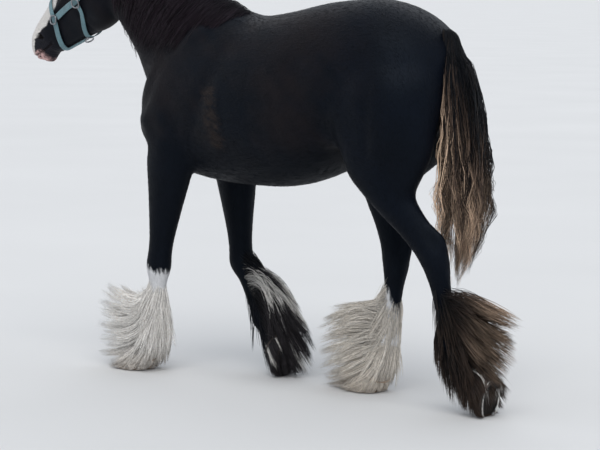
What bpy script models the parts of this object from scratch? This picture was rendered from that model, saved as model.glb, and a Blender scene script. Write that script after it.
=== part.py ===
"""A young cob horse at a walk, life size, with feathered legs, a long tail and a webbing headcollar.

Metres, +Z up. The horse faces -X, its near (left) side is towards -Y, and the floor is z = 0.
Its shape is given in a frame whose x = 0 is the middle of the back. At the end everything is moved
together, so that the origin lies on the floor under the middle of the whole horse.
"""

import math

import bmesh
import bpy
import numpy as np
from mathutils import Matrix, Vector
from mathutils.bvhtree import BVHTree

# Main sizes
HEAD_MIDDLE = -0.025  # height in the head's frame from which its surface is found
COAT_DEPTH = 0.004  # the short coat stands this far off the skin
GAP = 0.0004  # between pieces that touch
HAIR_GAP = 0.002  # round long hair
EYE_RADIUS = 0.021
EAR_LENGTH = 0.165
HOOF_LENGTH = 0.140  # toe to heel, on the ground
HOOF_WIDTH = 0.130
TOE_HEIGHT = 0.088
HEEL_HEIGHT = 0.045
TOE_ANGLE = math.radians(52)
WEB_WIDTH = 0.026  # of the headcollar's webbing
WEB_THICKNESS = 0.004
STRAP_LIFT = 0.0012  # between the webbing and the head

BODY_VOXEL = 0.010
HAIR_VOXEL = 0.009
RING_POINTS = 32
FLESH_PASSES = 26  # of smoothing
FLESH_TRIANGLES = 2300
FEATHER_TRIANGLES = 145
MANE_TRIANGLES = 200
TAIL_TRIANGLES = 200
FORELOCK_TRIANGLES = 80
HAIR_CLEARANCE = 0.008  # long hair ends this far above the floor
TOE_FLAT = 0.009  # how much of a tipped hoof's edge is worn flat

# The head's own frame: it starts inside the poll and points down to the muzzle
POLL = Vector((-0.905, -0.010, 1.592))
HEAD_SLOPE = math.radians(34.5)  # below the horizon
HEAD_TURN = math.radians(-6)  # to the near side

NEAR, OFF = -1, 1

# Trunk stations from the breast to the buttocks:
# x, top, height of the widest point, bottom, half width, fullness above and below
TRUNK = (
    (-0.685, 1.12, 1.03, 0.94, 0.085, 2.0, 2.0),
    (-0.650, 1.20, 1.03, 0.88, 0.150, 2.0, 2.0),
    (-0.590, 1.28, 1.03, 0.820, 0.195, 2.0, 2.2),
    (-0.500, 1.345, 1.04, 0.780, 0.222, 1.9, 2.2),
    (-0.400, 1.390, 1.04, 0.760, 0.240, 1.8, 2.2),
    (-0.290, 1.415, 1.04, 0.748, 0.255, 1.7, 2.2),
    (-0.170, 1.385, 1.03, 0.745, 0.275, 1.9, 2.2),
    (0.000, 1.405, 1.03, 0.752, 0.288, 2.1, 2.2),
    (0.160, 1.438, 1.06, 0.800, 0.288, 2.2, 2.2),
    (0.300, 1.452, 1.12, 0.890, 0.270, 2.3, 2.1),
    (0.400, 1.455, 1.17, 0.915, 0.260, 2.3, 2.0),
    (0.500, 1.430, 1.18, 0.940, 0.250, 2.3, 2.0),
    (0.585, 1.388, 1.17, 0.960, 0.222, 2.2, 2.0),
    (0.650, 1.338, 1.15, 0.990, 0.175, 2.0, 2.0),
    (0.695, 1.27, 1.14, 1.04, 0.105, 2.0, 2.0),
)

# Neck stations from the withers to the poll: crest x and z, underside x and z, half width, y of the middle
NECK = (
    (-0.200, 1.360, -0.560, 0.930, 0.185, 0.0),
    (-0.300, 1.418, -0.655, 1.030, 0.168, 0.0),
    (-0.415, 1.468, -0.715, 1.115, 0.136, 0.0),
    (-0.540, 1.530, -0.762, 1.195, 0.108, 0.0),
    (-0.665, 1.592, -0.815, 1.268, 0.093, -0.001),
    (-0.780, 1.643, -0.868, 1.335, 0.084, -0.003),
    (-0.860, 1.662, -0.925, 1.395, 0.076, -0.006),
)

# Head stations from the poll to the lips, in the head's own frame: distance along the head, top, bottom,
# half width near the top, at the middle and near the bottom, height of the middle
HEAD = (
    (-0.030, 0.050, -0.065, 0.045, 0.060, 0.045, 0.00),
    (0.020, 0.090, -0.120, 0.056, 0.078, 0.055, 0.01),
    (0.085, 0.109, -0.168, 0.068, 0.092, 0.058, 0.02),
    (0.150, 0.116, -0.190, 0.076, 0.101, 0.058, 0.03),
    (0.210, 0.110, -0.187, 0.070, 0.100, 0.054, 0.03),
    (0.270, 0.096, -0.168, 0.057, 0.088, 0.048, 0.02),
    (0.330, 0.087, -0.152, 0.047, 0.072, 0.041, 0.01),
    (0.395, 0.077, -0.137, 0.042, 0.062, 0.036, 0.00),
    (0.455, 0.066, -0.122, 0.039, 0.057, 0.034, -0.008),
    (0.510, 0.055, -0.108, 0.038, 0.057, 0.034, -0.015),
    (0.560, 0.038, -0.099, 0.037, 0.058, 0.035, -0.022),
    (0.600, 0.011, -0.085, 0.028, 0.047, 0.031, -0.030),
    (0.622, -0.018, -0.062, 0.013, 0.027, 0.016, -0.038),
)

# Joints of each leg. Fore: shoulder, elbow, knee, fetlock, coronet.
# Hind: hip, stifle, hock, fetlock, coronet.
FORE_JOINTS = {
    NEAR: (
        (-0.550, -0.150, 0.985), (-0.480, -0.165, 0.855), (-0.558, -0.150, 0.425),
        (-0.592, -0.136, 0.188), (-0.650, -0.128, 0.078),
    ),
    OFF: (
        (-0.535, 0.150, 0.985), (-0.440, 0.165, 0.855), (-0.392, 0.150, 0.425),
        (-0.270, 0.128, 0.206), (-0.190, 0.116, 0.134),
    ),
}
HIND_JOINTS = {
    NEAR: (
        (0.470, -0.130, 1.170), (0.445, -0.165, 0.875), (0.714, -0.125, 0.548),
        (0.752, -0.078, 0.246), (0.858, -0.052, 0.137),
    ),
    OFF: (
        (0.450, 0.130, 1.170), (0.235, 0.165, 0.885), (0.374, 0.120, 0.500),
        (0.360, 0.090, 0.190), (0.313, 0.080, 0.078),
    ),
}
# How far each hoof is tipped forward off its sole, in degrees
FORE_TIP = {NEAR: 0.0, OFF: 80.0}
HIND_TIP = {NEAR: 75.0, OFF: 0.0}

# Leg sections: which joint they follow, share of the way to the next, front, back and half width
FORE_SECTIONS = (
    (1, -0.10, 0.095, 0.090, 0.076),
    (1, 0.08, 0.106, 0.098, 0.072),
    (1, 0.25, 0.092, 0.088, 0.065),
    (1, 0.50, 0.070, 0.068, 0.056),
    (1, 0.75, 0.052, 0.052, 0.046),
    (1, 0.90, 0.048, 0.049, 0.043),
    (2, 0.00, 0.050, 0.054, 0.046),
    (2, 0.14, 0.045, 0.050, 0.041),
    (2, 0.30, 0.034, 0.041, 0.032),
    (2, 0.60, 0.031, 0.039, 0.029),
    (2, 0.85, 0.033, 0.042, 0.032),
    (3, 0.00, 0.038, 0.048, 0.039),
    (3, 0.35, 0.034, 0.040, 0.035),
    (3, 0.75, 0.042, 0.040, 0.041),
    (3, 1.15, 0.052, 0.044, 0.048),
)
HIND_SECTIONS = (
    (1, 0.00, 0.086, 0.110, 0.085),
    (1, 0.20, 0.082, 0.092, 0.078),
    (1, 0.42, 0.074, 0.074, 0.062),
    (1, 0.65, 0.058, 0.058, 0.048),
    (1, 0.85, 0.052, 0.048, 0.043),
    (2, 0.00, 0.058, 0.052, 0.048),
    (2, 0.16, 0.046, 0.050, 0.041),
    (2, 0.32, 0.036, 0.043, 0.033),
    (2, 0.60, 0.032, 0.039, 0.029),
    (2, 0.87, 0.034, 0.042, 0.032),
    (3, 0.00, 0.039, 0.049, 0.039),
    (3, 0.35, 0.034, 0.041, 0.035),
    (3, 0.75, 0.042, 0.040, 0.041),
    (3, 1.15, 0.052, 0.044, 0.048),
)

# Outer bounds of the long hair. Tail stations: x, z, half depth, half width.
TAIL = (
    (0.640, 1.345, 0.024, 0.030),
    (0.682, 1.330, 0.044, 0.050),
    (0.712, 1.240, 0.060, 0.075),
    (0.728, 1.120, 0.074, 0.098),
    (0.742, 0.960, 0.090, 0.114),
    (0.742, 0.800, 0.106, 0.128),
    (0.748, 0.660, 0.094, 0.116),
    (0.762, 0.550, 0.062, 0.082),
    (0.770, 0.450, 0.024, 0.036),
)
# Feather stations of each leg: x, y, z, front, back and half width
FORE_FEATHER = {
    NEAR: (
        (-0.590, -0.142, 0.335, 0.036, 0.056, 0.040),
        (-0.612, -0.143, 0.272, 0.060, 0.080, 0.058),
        (-0.668, -0.148, 0.205, 0.150, 0.136, 0.092),
        (-0.700, -0.152, 0.125, 0.180, 0.146, 0.114),
        (-0.705, -0.150, 0.050, 0.150, 0.136, 0.108),
        (-0.700, -0.146, 0.014, 0.100, 0.105, 0.084),
    ),
    OFF: (
        (-0.312, 0.138, 0.390, 0.030, 0.060, 0.040),
        (-0.255, 0.136, 0.340, 0.045, 0.105, 0.055),
        (-0.195, 0.130, 0.255, 0.065, 0.130, 0.075),
        (-0.150, 0.124, 0.165, 0.065, 0.125, 0.085),
        (-0.120, 0.118, 0.080, 0.055, 0.095, 0.075),
        (-0.105, 0.114, 0.025, 0.035, 0.060, 0.055),
    ),
}
HIND_FEATHER = {
    NEAR: (
        (0.750, -0.098, 0.430, 0.045, 0.066, 0.045),
        (0.782, -0.090, 0.370, 0.072, 0.150, 0.066),
        (0.840, -0.080, 0.285, 0.110, 0.175, 0.090),
        (0.880, -0.068, 0.195, 0.115, 0.118, 0.095),
        (0.890, -0.056, 0.100, 0.100, 0.076, 0.075),
        (0.893, -0.048, 0.035, 0.060, 0.044, 0.048),
    ),
    OFF: (
        (0.366, 0.098, 0.345, 0.042, 0.058, 0.042),
        (0.352, 0.092, 0.300, 0.080, 0.076, 0.062),
        (0.300, 0.082, 0.235, 0.190, 0.124, 0.102),
        (0.272, 0.076, 0.150, 0.200, 0.138, 0.120),
        (0.265, 0.074, 0.060, 0.165, 0.105, 0.110),
        (0.265, 0.074, 0.012, 0.120, 0.085, 0.085),
    ),
}
MANE_THICKNESS = 0.034
MANE_DROP = (0.10, 0.20, 0.30, 0.34, 0.33, 0.28, 0.22)  # down the near side, from the withers to the poll

# Headcollar: distance along the head, degrees round from its top on the near side
NOSEBAND = ((0.378, 0), (0.384, 45), (0.393, 88), (0.419, 131), (0.446, 163), (0.455, 180))
# From the ring at the noseband up the cheek and behind the ears to the top of the poll
HEADPIECE = (
    (0.373, 90), (0.345, 91), (0.304, 95), (0.240, 104), (0.205, 106), (0.160, 100), (0.112, 88), (0.065, 72),
    (0.020, 54), (-0.014, 28), (-0.024, 0),
)
# From the headpiece's lower ring down to under the jaw
THROAT_STRAP = ((0.222, 118), (0.230, 136), (0.258, 150), (0.286, 163), (0.303, 172), (0.308, 180))
JAW_STRAP = ((0.330, 180), (0.370, 180), (0.410, 180), (0.444, 180))
NOSE_RING_AT = (0.393, 90)
CHEEK_RING_AT = (0.220, 111)
JAW_RING_AT = (0.322, 180)
RING_RADIUS = 0.017
WIRE_RADIUS = 0.003
RING_LIFT = 0.003
TAUT_PASSES = 40
EDGE_REACH = 0.04  # how far off the head a strap's edges are looked for

# Where the flesh is parted. Head and neck: a point on top, a point below, how far the cut reaches.
HEAD_CUT = ((-0.800, 0, 1.680), (-0.905, 0, 1.345), 0.21)
NECK_CUT = ((-0.250, 0, 1.440), (-0.730, 0, 1.080), 0.34)
# Legs: which joint, share of the way to the next, how far the cut reaches
FORE_CUTS = ((1, 0.30, 0.125), (2, 0.22, 0.080))
HIND_CUTS = ((1, 0.45, 0.140), (2, 0.24, 0.080))
CORONET_REACH = 0.085

# Ear stations: share of its length, half width, depth
EAR = (
    (-0.16, 0.020, 0.020), (0.0, 0.023, 0.022), (0.2, 0.029, 0.024), (0.45, 0.031, 0.020),
    (0.7, 0.024, 0.014), (0.88, 0.013, 0.008), (1.0, 0.003, 0.003),
)
# Forelock stations in the head's frame: distance along, height, half width, half depth
FORELOCK = (
    (-0.012, 0.098, 0.020, 0.020), (0.030, 0.112, 0.034, 0.022), (0.090, 0.122, 0.044, 0.020),
    (0.150, 0.124, 0.044, 0.018), (0.205, 0.116, 0.034, 0.014), (0.245, 0.104, 0.016, 0.009),
)
# Materials: colour, roughness, metal
PAINTS = {
    "coat": ((0.030, 0.026, 0.026), 0.6, 0.0),
    "dark_hair": ((0.050, 0.038, 0.032), 0.7, 0.0),
    "pale_hair": ((0.72, 0.66, 0.56), 0.7, 0.0),
    "horn": ((0.35, 0.30, 0.24), 0.5, 0.0),
    "eye": ((0.02, 0.015, 0.012), 0.05, 0.0),
    "webbing": ((0.28, 0.50, 0.54), 0.7, 0.0),
    "metal": ((0.55, 0.55, 0.55), 0.35, 1.0),
}
PALE_FEATHERS = ("near_fore_feather", "off_hind_feather")


# Curves and shells

def through(rows, per_span):
    """Rows of numbers, with per_span steps between each two, on a smooth curve through them."""
    rows = np.array(rows, float)
    ends = np.vstack([2 * rows[0] - rows[1], rows, 2 * rows[-1] - rows[-2]])
    made = []
    for i in range(1, len(ends) - 2):
        a, b, c, d = ends[i - 1 : i + 3]
        for step in range(per_span):
            t = step / per_span
            made.append(
                0.5 * (2 * b + (c - a) * t + (2 * a - 5 * b + 4 * c - d) * t**2
                       + (3 * b - a - 3 * c + d) * t**3)
            )
    made.append(rows[-1])
    return np.array(made)


def signed_power(values, power):
    return np.sign(values) * np.abs(values) ** power


def shell(rings):
    """A closed mesh through rings of points, with each end drawn together to a point."""
    rings = np.array(rings, float)
    count, around = rings.shape[:2]
    work = bmesh.new()
    rows = [[work.verts.new(p) for p in ring] for ring in rings]
    for a, b in zip(rows, rows[1:]):
        for i in range(around):
            j = (i + 1) % around
            work.faces.new((a[i], a[j], b[j], b[i]))
    for row, ring in ((rows[0], rings[0]), (rows[-1], rings[-1])):
        tip = work.verts.new(ring.mean(axis=0))
        for i in range(around):
            work.faces.new((row[i], row[(i + 1) % around], tip))
    bmesh.ops.recalc_face_normals(work, faces=work.faces)
    return work


def turn(count=RING_POINTS):
    return np.linspace(0, 2 * math.pi, count, endpoint=False)


def section(centre, up, side, above, below, half_width, full_above=2.0, full_below=2.0, angle=None):
    """One ring round centre, or an arc of it: above and below along up, half_width along side."""
    angle = turn() if angle is None else angle
    across, rise = np.cos(angle), np.sin(angle)
    full = np.where(rise > 0, 2 / full_above, 2 / full_below)
    height = np.where(rise > 0, above, below) * signed_power(rise, full)
    width = half_width * signed_power(across, full)
    return np.array(centre) + np.outer(height, up) + np.outer(width, side)


def capped(stations):
    """The stations with each end rounded off."""
    stations = [np.array(s, float) for s in stations]
    for _ in range(2):
        end, inner = stations[0], stations[1]
        line = (end[:3] - inner[:3]) / np.linalg.norm(end[:3] - inner[:3])
        reach = end[3:].mean()
        caps = [
            np.array((*(end[:3] + line * reach * out), *(end[3:] * math.sqrt(1 - out**2))))
            for out in (0.92, 0.6)
        ]
        stations = (caps + stations)[::-1]
    return stations


def limb(stations, lateral=(0, 1, 0), per_span=4, rounded=True):
    """A tube through stations of x, y, z, front, back and half width, square to its own line."""
    rows = through(capped(stations) if rounded else stations, per_span)
    lines = np.gradient(rows[:, :3], axis=0)
    rings = []
    for row, line in zip(rows, lines):
        forward = np.cross(lateral, line)
        forward /= np.linalg.norm(forward)
        side = np.cross(line, forward)
        side /= np.linalg.norm(side)
        rings.append(section(row[:3], forward, side, row[3], row[4], row[5]))
    return shell(rings)


def ball(centre, radii, turned=(0, 0, 0)):
    """An ellipsoid, its turns given in degrees about x, y and z."""
    work = bmesh.new()
    bmesh.ops.create_uvsphere(work, u_segments=24, v_segments=14, radius=1)
    spin = Matrix.Rotation(math.radians(turned[2]), 4, "Z")
    spin @= Matrix.Rotation(math.radians(turned[1]), 4, "Y")
    spin @= Matrix.Rotation(math.radians(turned[0]), 4, "X")
    place = Matrix.Translation(centre) @ spin @ Matrix.Diagonal((*radii, 1))
    bmesh.ops.transform(work, matrix=place, verts=work.verts)
    return work


# Objects

def painted(name, colour, roughness, metallic):
    made = bpy.data.materials.new(name)
    made.use_nodes = True
    made.diffuse_color = (*colour, 1)
    shader = made.node_tree.nodes["Principled BSDF"]
    shader.inputs["Base Color"].default_value = (*colour, 1)
    shader.inputs["Roughness"].default_value = roughness
    shader.inputs["Metallic"].default_value = metallic
    return made


def placed(name, work, material=None):
    mesh = bpy.data.meshes.new(name)
    work.to_mesh(mesh)
    work.free()
    made = bpy.data.objects.new(name, mesh)
    bpy.context.scene.collection.objects.link(made)
    if material:
        mesh.materials.append(material)
    return made


def settle(obj):
    """Makes the modifiers part of the mesh."""
    bpy.context.view_layer.update()
    graph = bpy.context.evaluated_depsgraph_get()
    mesh = bpy.data.meshes.new_from_object(obj.evaluated_get(graph))
    obj.modifiers.clear()
    old = obj.data
    obj.data = mesh
    bpy.data.meshes.remove(old)


def drop(obj):
    bpy.data.objects.remove(obj)


def remeshed(obj, voxel):
    modifier = obj.modifiers.new("Fuse", "REMESH")
    modifier.mode = "VOXEL"
    modifier.voxel_size = voxel
    settle(obj)


def thinned(obj, triangles):
    """Fewer triangles, about as many as asked for, with more of them where the form bends."""
    have = sum(len(p.vertices) - 2 for p in obj.data.polygons)
    modifier = obj.modifiers.new("Thin", "DECIMATE")
    modifier.ratio = min(1.0, triangles / have)
    settle(obj)


def points_of(mesh):
    found = np.empty(len(mesh.vertices) * 3)
    mesh.vertices.foreach_get("co", found)
    return found.reshape(-1, 3)


def move_points(mesh, points):
    mesh.vertices.foreach_set("co", points.ravel())
    mesh.update()


def relaxed(obj, passes, share=0.5):
    """Smooths the surface. share is one number, or one for each vertex."""
    mesh = obj.data
    ends = np.empty(len(mesh.edges) * 2, int)
    mesh.edges.foreach_get("vertices", ends)
    a, b = ends.reshape(-1, 2).T
    points = points_of(mesh)
    count = np.bincount(ends, minlength=len(points))[:, None]
    share = np.broadcast_to(share, len(points))[:, None]
    for _ in range(passes):
        total = np.zeros_like(points)
        for axis in range(3):
            total[:, axis] = np.bincount(a, points[b, axis], len(points))
            total[:, axis] += np.bincount(b, points[a, axis], len(points))
        points += share * (total / count - points)
    move_points(mesh, points)


def grown(obj, depth):
    mesh = obj.data
    normals = np.array([v.normal for v in mesh.vertices])
    move_points(mesh, points_of(mesh) + normals * depth)


def joined(name, works):
    """All the meshes as they are, in one object."""
    whole = bmesh.new()
    for work in works:
        mesh = bpy.data.meshes.new("piece")
        work.to_mesh(mesh)
        work.free()
        whole.from_mesh(mesh)
        bpy.data.meshes.remove(mesh)
    return placed(name, whole)


def fused(name, works, voxel):
    """One closed skin round all the meshes."""
    made = joined(name, works)
    remeshed(made, voxel)
    return made


# Head frame

def head_axes():
    along = Vector((
        -math.cos(HEAD_SLOPE) * math.cos(HEAD_TURN),
        -math.cos(HEAD_SLOPE) * math.sin(HEAD_TURN),
        -math.sin(HEAD_SLOPE),
    ))
    side = Vector((math.sin(HEAD_TURN), -math.cos(HEAD_TURN), 0))  # to the near side
    up = side.cross(along) * -1
    return along, side, up


def in_head(along, side, up):
    """A point given in the head's own frame."""
    a, s, u = head_axes()
    return POLL + a * along + s * side + u * up


# Shells of the body

def trunk():
    rings = []
    for x, top, wide, bottom, half, above, below in through(TRUNK, 4):
        rings.append(
            section((x, 0, wide), (0, 0, 1), (0, 1, 0), top - wide, wide - bottom, half, above, below)
        )
    return shell(rings)


def neck():
    rings = []
    for crest_x, crest_z, under_x, under_z, half, y in through(NECK, 4):
        crest, under = np.array((crest_x, y, crest_z)), np.array((under_x, y, under_z))
        reach = np.linalg.norm(crest - under)
        up = (crest - under) / reach
        centre = under + up * reach * 0.44
        rings.append(section(centre, up, (0, 1, 0), reach * 0.56, reach * 0.44, half, 1.8, 2.1))
    return shell(rings)


def head_ring(row):
    along, top, bottom, near_top, middle, near_bottom, height = row
    corner_rise, corner_drop = 0.16 * (top - height), 0.18 * (height - bottom)
    half = (
        (0.0, top),
        (near_top, top - corner_rise),
        (middle, height),
        (near_bottom, bottom + corner_drop),
        (0.0, bottom),
    )
    loop = list(half) + [(-w, h) for w, h in half[3:0:-1]]
    ring = through(loop + loop[:1], 4)[:-1]
    return [in_head(along, side, up) for side, up in ring]


def head_core():
    return shell([head_ring(row) for row in through(HEAD, 4)])


def head_masses():
    """Cheeks, temples, brow rims, nostrils, lips and chin."""
    made = []
    slope = math.degrees(HEAD_SLOPE)
    yaw = math.degrees(HEAD_TURN)
    for side in (-1, 1):
        lumps = (
            ((0.155, 0.048, -0.078), (0.092, 0.032, 0.086)),  # cheek muscle
            ((0.186, 0.080, 0.054), (0.046, 0.026, 0.026)),  # rim over the eye
            ((0.090, 0.048, 0.062), (0.058, 0.030, 0.040)),  # temple
            ((0.290, 0.058, 0.002), (0.080, 0.016, 0.017)),  # crest of the cheekbone
            ((0.556, 0.036, -0.010), (0.034, 0.022, 0.028)),  # nostril
        )
        for (along, across, up), radii in lumps:
            made.append(ball(in_head(along, side * across, up), radii, (0, slope, yaw)))
    made.append(ball(in_head(0.588, 0, -0.034), (0.034, 0.042, 0.030), (0, slope, yaw)))
    made.append(ball(in_head(0.566, 0, -0.086), (0.034, 0.034, 0.026), (0, slope, yaw)))
    return made


def shoulder_masses():
    made = []
    for side, joints in FORE_JOINTS.items():
        point, elbow = np.array(joints[0]), np.array(joints[1])
        blade = np.array((-0.370, side * 0.128, 1.300))
        made.append(limb((
            (*blade, 0.060, 0.080, 0.040),
            (*(0.6 * blade + 0.4 * point), 0.080, 0.110, 0.062),
            (*(0.25 * blade + 0.75 * point), 0.078, 0.110, 0.075),
            (*point, 0.070, 0.085, 0.080),
        ), per_span=3))
        for share in (0.0, 0.35, 0.7, 1.0):
            centre = (1 - share) * point + share * elbow
            made.append(ball(centre, (0.086, 0.076, 0.080)))
        made.append(ball((elbow[0] + 0.010, side * 0.185, 0.985), (0.090, 0.058, 0.140), (0, -22, 0)))
        made.append(ball((elbow[0] + 0.052, side * 0.168, 0.868), (0.040, 0.036, 0.055), (0, -10, 0)))
        made.append(ball((-0.600, side * 0.085, 0.985), (0.074, 0.095, 0.115), (0, 14, 0)))
    return made


def thigh_masses():
    made = []
    for side, joints in HIND_JOINTS.items():
        hip, stifle, hock = (np.array(j) for j in joints[:3])
        swing = stifle[0] - 0.36
        point_of_hip = np.array((0.275, side * 0.205, 1.255))
        buttock = np.array((0.622, side * 0.112, 1.150))
        calf = stifle + 0.30 * (hock - stifle) + np.array((0.035, 0, 0.020))
        made.append(limb((
            (*point_of_hip, 0.060, 0.070, 0.046),
            (*(0.6 * point_of_hip + 0.4 * stifle + (0.03, 0, 0)), 0.100, 0.120, 0.078),
            (*(0.25 * point_of_hip + 0.75 * stifle + (0.02, 0, 0)), 0.095, 0.130, 0.085),
            (*stifle, 0.085, 0.110, 0.080),
        ), per_span=3))
        made.append(limb((
            (*(hip + (0.00, 0, 0.060)), 0.150, 0.120, 0.105),
            (*(hip + (0.02, side * 0.020, -0.040)), 0.185, 0.180, 0.132),
            (*(0.5 * hip + 0.5 * stifle + (0.06, side * 0.012, 0)), 0.170, 0.170, 0.120),
            (*(stifle + (0.06, 0, -0.02)), 0.110, 0.110, 0.085),
        ), per_span=3))
        made.append(limb((
            (*(buttock + (-0.05, 0, 0.060)), 0.080, 0.070, 0.080),
            (*buttock, 0.110, 0.085, 0.100),
            (*(buttock + (-0.015 + 0.10 * swing, side * 0.028, -0.160)), 0.110, 0.082, 0.100),
            (*(0.45 * buttock + 0.55 * calf + (0.03, side * 0.014, -0.030)), 0.095, 0.080, 0.082),
            (*calf, 0.075, 0.075, 0.062),
        ), per_span=3))
    return made


def hock_masses():
    """The point of each hock, and the tendon that runs down to it."""
    made = []
    for joints in HIND_JOINTS.values():
        stifle, hock, fetlock = (np.array(j) for j in joints[1:4])
        shin = (hock - stifle) / np.linalg.norm(hock - stifle)
        back = np.array((-shin[2], 0, shin[0]))
        point = hock + back * 0.066 - shin * 0.030
        made.append(limb((
            (*(stifle + shin * 0.20 + back * 0.050), 0.026, 0.024, 0.026),
            (*(hock - shin * 0.120 + back * 0.058), 0.016, 0.014, 0.014),
            (*point, 0.022, 0.018, 0.021),
            (*(hock + (fetlock - hock) * 0.16 + back * 0.026), 0.022, 0.020, 0.022),
        ), per_span=4))
    return made


def leg(joints, sections):
    joints = [np.array(j) for j in joints]
    stations = []
    for start, share, front, back, half in sections:
        if start + 1 < len(joints):
            centre = joints[start] + share * (joints[start + 1] - joints[start])
        stations.append((*centre, front, back, half))
    return limb(stations, per_span=3)


def flank_folds():
    """The web of skin from each stifle to the belly."""
    made = []
    for side, joints in HIND_JOINTS.items():
        stifle = np.array(joints[1])
        made.append(limb((
            (0.080, side * 0.150, 0.900, 0.050, 0.050, 0.080),
            (0.210, side * 0.165, 0.955, 0.045, 0.045, 0.060),
            (*(stifle + (0.01, -side * 0.01, 0.100)), 0.045, 0.060, 0.045),
        ), per_span=3))
    return made


def body_shells():
    shells = [trunk(), neck()]
    shells += shoulder_masses() + thigh_masses() + flank_folds() + hock_masses()
    shells += [leg(j, FORE_SECTIONS) for j in FORE_JOINTS.values()]
    shells += [leg(j, HIND_SECTIONS) for j in HIND_JOINTS.values()]
    return shells


def head_shells():
    return [head_core()] + head_masses()


def smoothing_of(points):
    """How much each place is smoothed: most on the trunk, least below the knees and on the head."""
    height = np.clip((points[:, 2] - 0.45) / 0.40, 0, 1)
    along = (points - np.array(POLL)) @ np.array(head_axes()[0])
    forward = np.clip((along + 0.05) / 0.12, 0, 1)
    return 0.12 + 0.48 * height * (1 - forward)


# Hooves

def hoof_place(joints, tip):
    """Matrix from a hoof's own frame (x forward, sole at z = 0) to its place at the end of a leg."""
    lift = hoof_coronet()
    turned = Matrix.Rotation(math.radians(tip), 4, "Y")
    flip = Matrix.Rotation(math.pi, 4, "Z")
    lowest = min((turned @ Vector((x, 0, 0))).z for x in (-HOOF_LENGTH / 2, HOOF_LENGTH / 2))
    at = flip @ turned @ lift
    x, y = joints[-1][0], joints[-1][1]
    sunk = TOE_FLAT if tip else 0.0
    return Matrix.Translation((x - at.x, y - at.y, -lowest - sunk)) @ flip @ turned


def hoof_coronet():
    """Middle of the top of the hoof, in its own frame."""
    slant = 1 / math.tan(TOE_ANGLE)
    toe = HOOF_LENGTH / 2 - TOE_HEIGHT * slant
    heel = -HOOF_LENGTH / 2 - HEEL_HEIGHT * slant
    return Vector(((toe + heel) / 2, 0, (TOE_HEIGHT + HEEL_HEIGHT) / 2))


def hoof_ring(share, shrink=1.0):
    """The hoof's outline at a share of the way up from the sole to the coronet."""
    slant = 1 / math.tan(TOE_ANGLE)
    ring = []
    for angle in np.linspace(0, 2 * math.pi, 14, endpoint=False):
        forward, across = math.cos(angle), math.sin(angle)
        x = HOOF_LENGTH / 2 * forward
        wide = HOOF_WIDTH / 2 * (1 - 0.06 * forward) * (1 - 0.14 * share)
        height = HEEL_HEIGHT + (TOE_HEIGHT - HEEL_HEIGHT) * (forward + 1) / 2
        z = share * height
        centre = hoof_coronet() * share
        spot = Vector((x - z * slant, wide * math.copysign(abs(across) ** 0.85, across), z))
        ring.append(centre + (spot - centre) * shrink)
    return ring


def hoof(place):
    rings = [hoof_ring(0.0, 0.90)] + [hoof_ring(share) for share in (0.05, 0.94)]
    rings += [hoof_ring(0.985, 0.94)]
    rings[0] = [Vector((p.x, p.y, 0)) for p in rings[0]]
    work = shell(rings)
    bmesh.ops.transform(work, matrix=place, verts=work.verts)
    geometry = work.verts[:] + work.edges[:] + work.faces[:]
    bmesh.ops.bisect_plane(
        work, geom=geometry, plane_co=(0, 0, 0), plane_no=(0, 0, -1), dist=1e-6, clear_outer=True
    )
    bmesh.ops.holes_fill(work, edges=[e for e in work.edges if e.is_boundary])
    bmesh.ops.recalc_face_normals(work, faces=work.faces)
    return work


def coronet_plane(place):
    """A point in the plane between leg and hoof, and the plane's normal up the leg."""
    slant = 1 / math.tan(TOE_ANGLE)
    along = Vector((HOOF_LENGTH - (TOE_HEIGHT - HEEL_HEIGHT) * slant, 0, TOE_HEIGHT - HEEL_HEIGHT))
    normal = along.cross(Vector((0, 1, 0))).normalized()
    if normal.z < 0:
        normal.negate()
    return place @ hoof_coronet(), (place.to_3x3() @ normal).normalized()


# Parting the flesh

def disc(centre, normal, radius):
    """A thin disc. Taken out of the flesh, it parts it in two."""
    work = bmesh.new()
    place = Matrix.Translation(centre) @ Vector(normal).to_track_quat("Z", "Y").to_matrix().to_4x4()
    bmesh.ops.create_cone(
        work, cap_ends=True, segments=24, radius1=radius, radius2=radius, depth=2 * GAP, matrix=place
    )
    return work


def between(joints, index, share):
    a, b = Vector(joints[index]), Vector(joints[index + 1])
    return a.lerp(b, share), (a - b).normalized()


def crosswise(top, bottom, reach):
    """A disc through two points, standing across the length of the horse."""
    top, bottom = Vector(top), Vector(bottom)
    return disc((top + bottom) / 2, (top - bottom).cross(Vector((0, 1, 0))).normalized(), reach)


def cuts(hooves):
    """Discs that part head, neck, trunk and legs."""
    made = [crosswise(*HEAD_CUT), crosswise(*NECK_CUT)]
    for table, places in ((FORE_JOINTS, FORE_CUTS), (HIND_JOINTS, HIND_CUTS)):
        for joints in table.values():
            made += [disc(*between(joints, index, share), reach) for index, share, reach in places]
    made += [disc(*coronet_plane(place), CORONET_REACH) for place in hooves]
    return made


def boolean(obj, other, operation="DIFFERENCE"):
    modifier = obj.modifiers.new("Cut", "BOOLEAN")
    modifier.operation = operation
    modifier.solver = "EXACT"
    modifier.object = other
    settle(obj)


def larger(obj, depth):
    """A copy whose every face stands at least depth off the original, to cut others with."""
    made = bpy.data.objects.new("larger", obj.data.copy())
    bpy.context.scene.collection.objects.link(made)
    work = bmesh.new()
    work.from_mesh(made.data)
    work.normal_update()
    steps = {}
    for vert in work.verts:
        least = min((vert.normal.dot(face.normal) for face in vert.link_faces), default=1.0)
        steps[vert] = vert.normal * depth / max(least, 0.5)
    for vert, step in steps.items():
        vert.co += step
    work.to_mesh(made.data)
    work.free()
    return made


def cleared(obj, others, depth=GAP):
    """Takes from obj what lies in the others, with a gap."""
    for other in others:
        tool = larger(other, depth)
        boolean(obj, tool)
        drop(tool)


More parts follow.
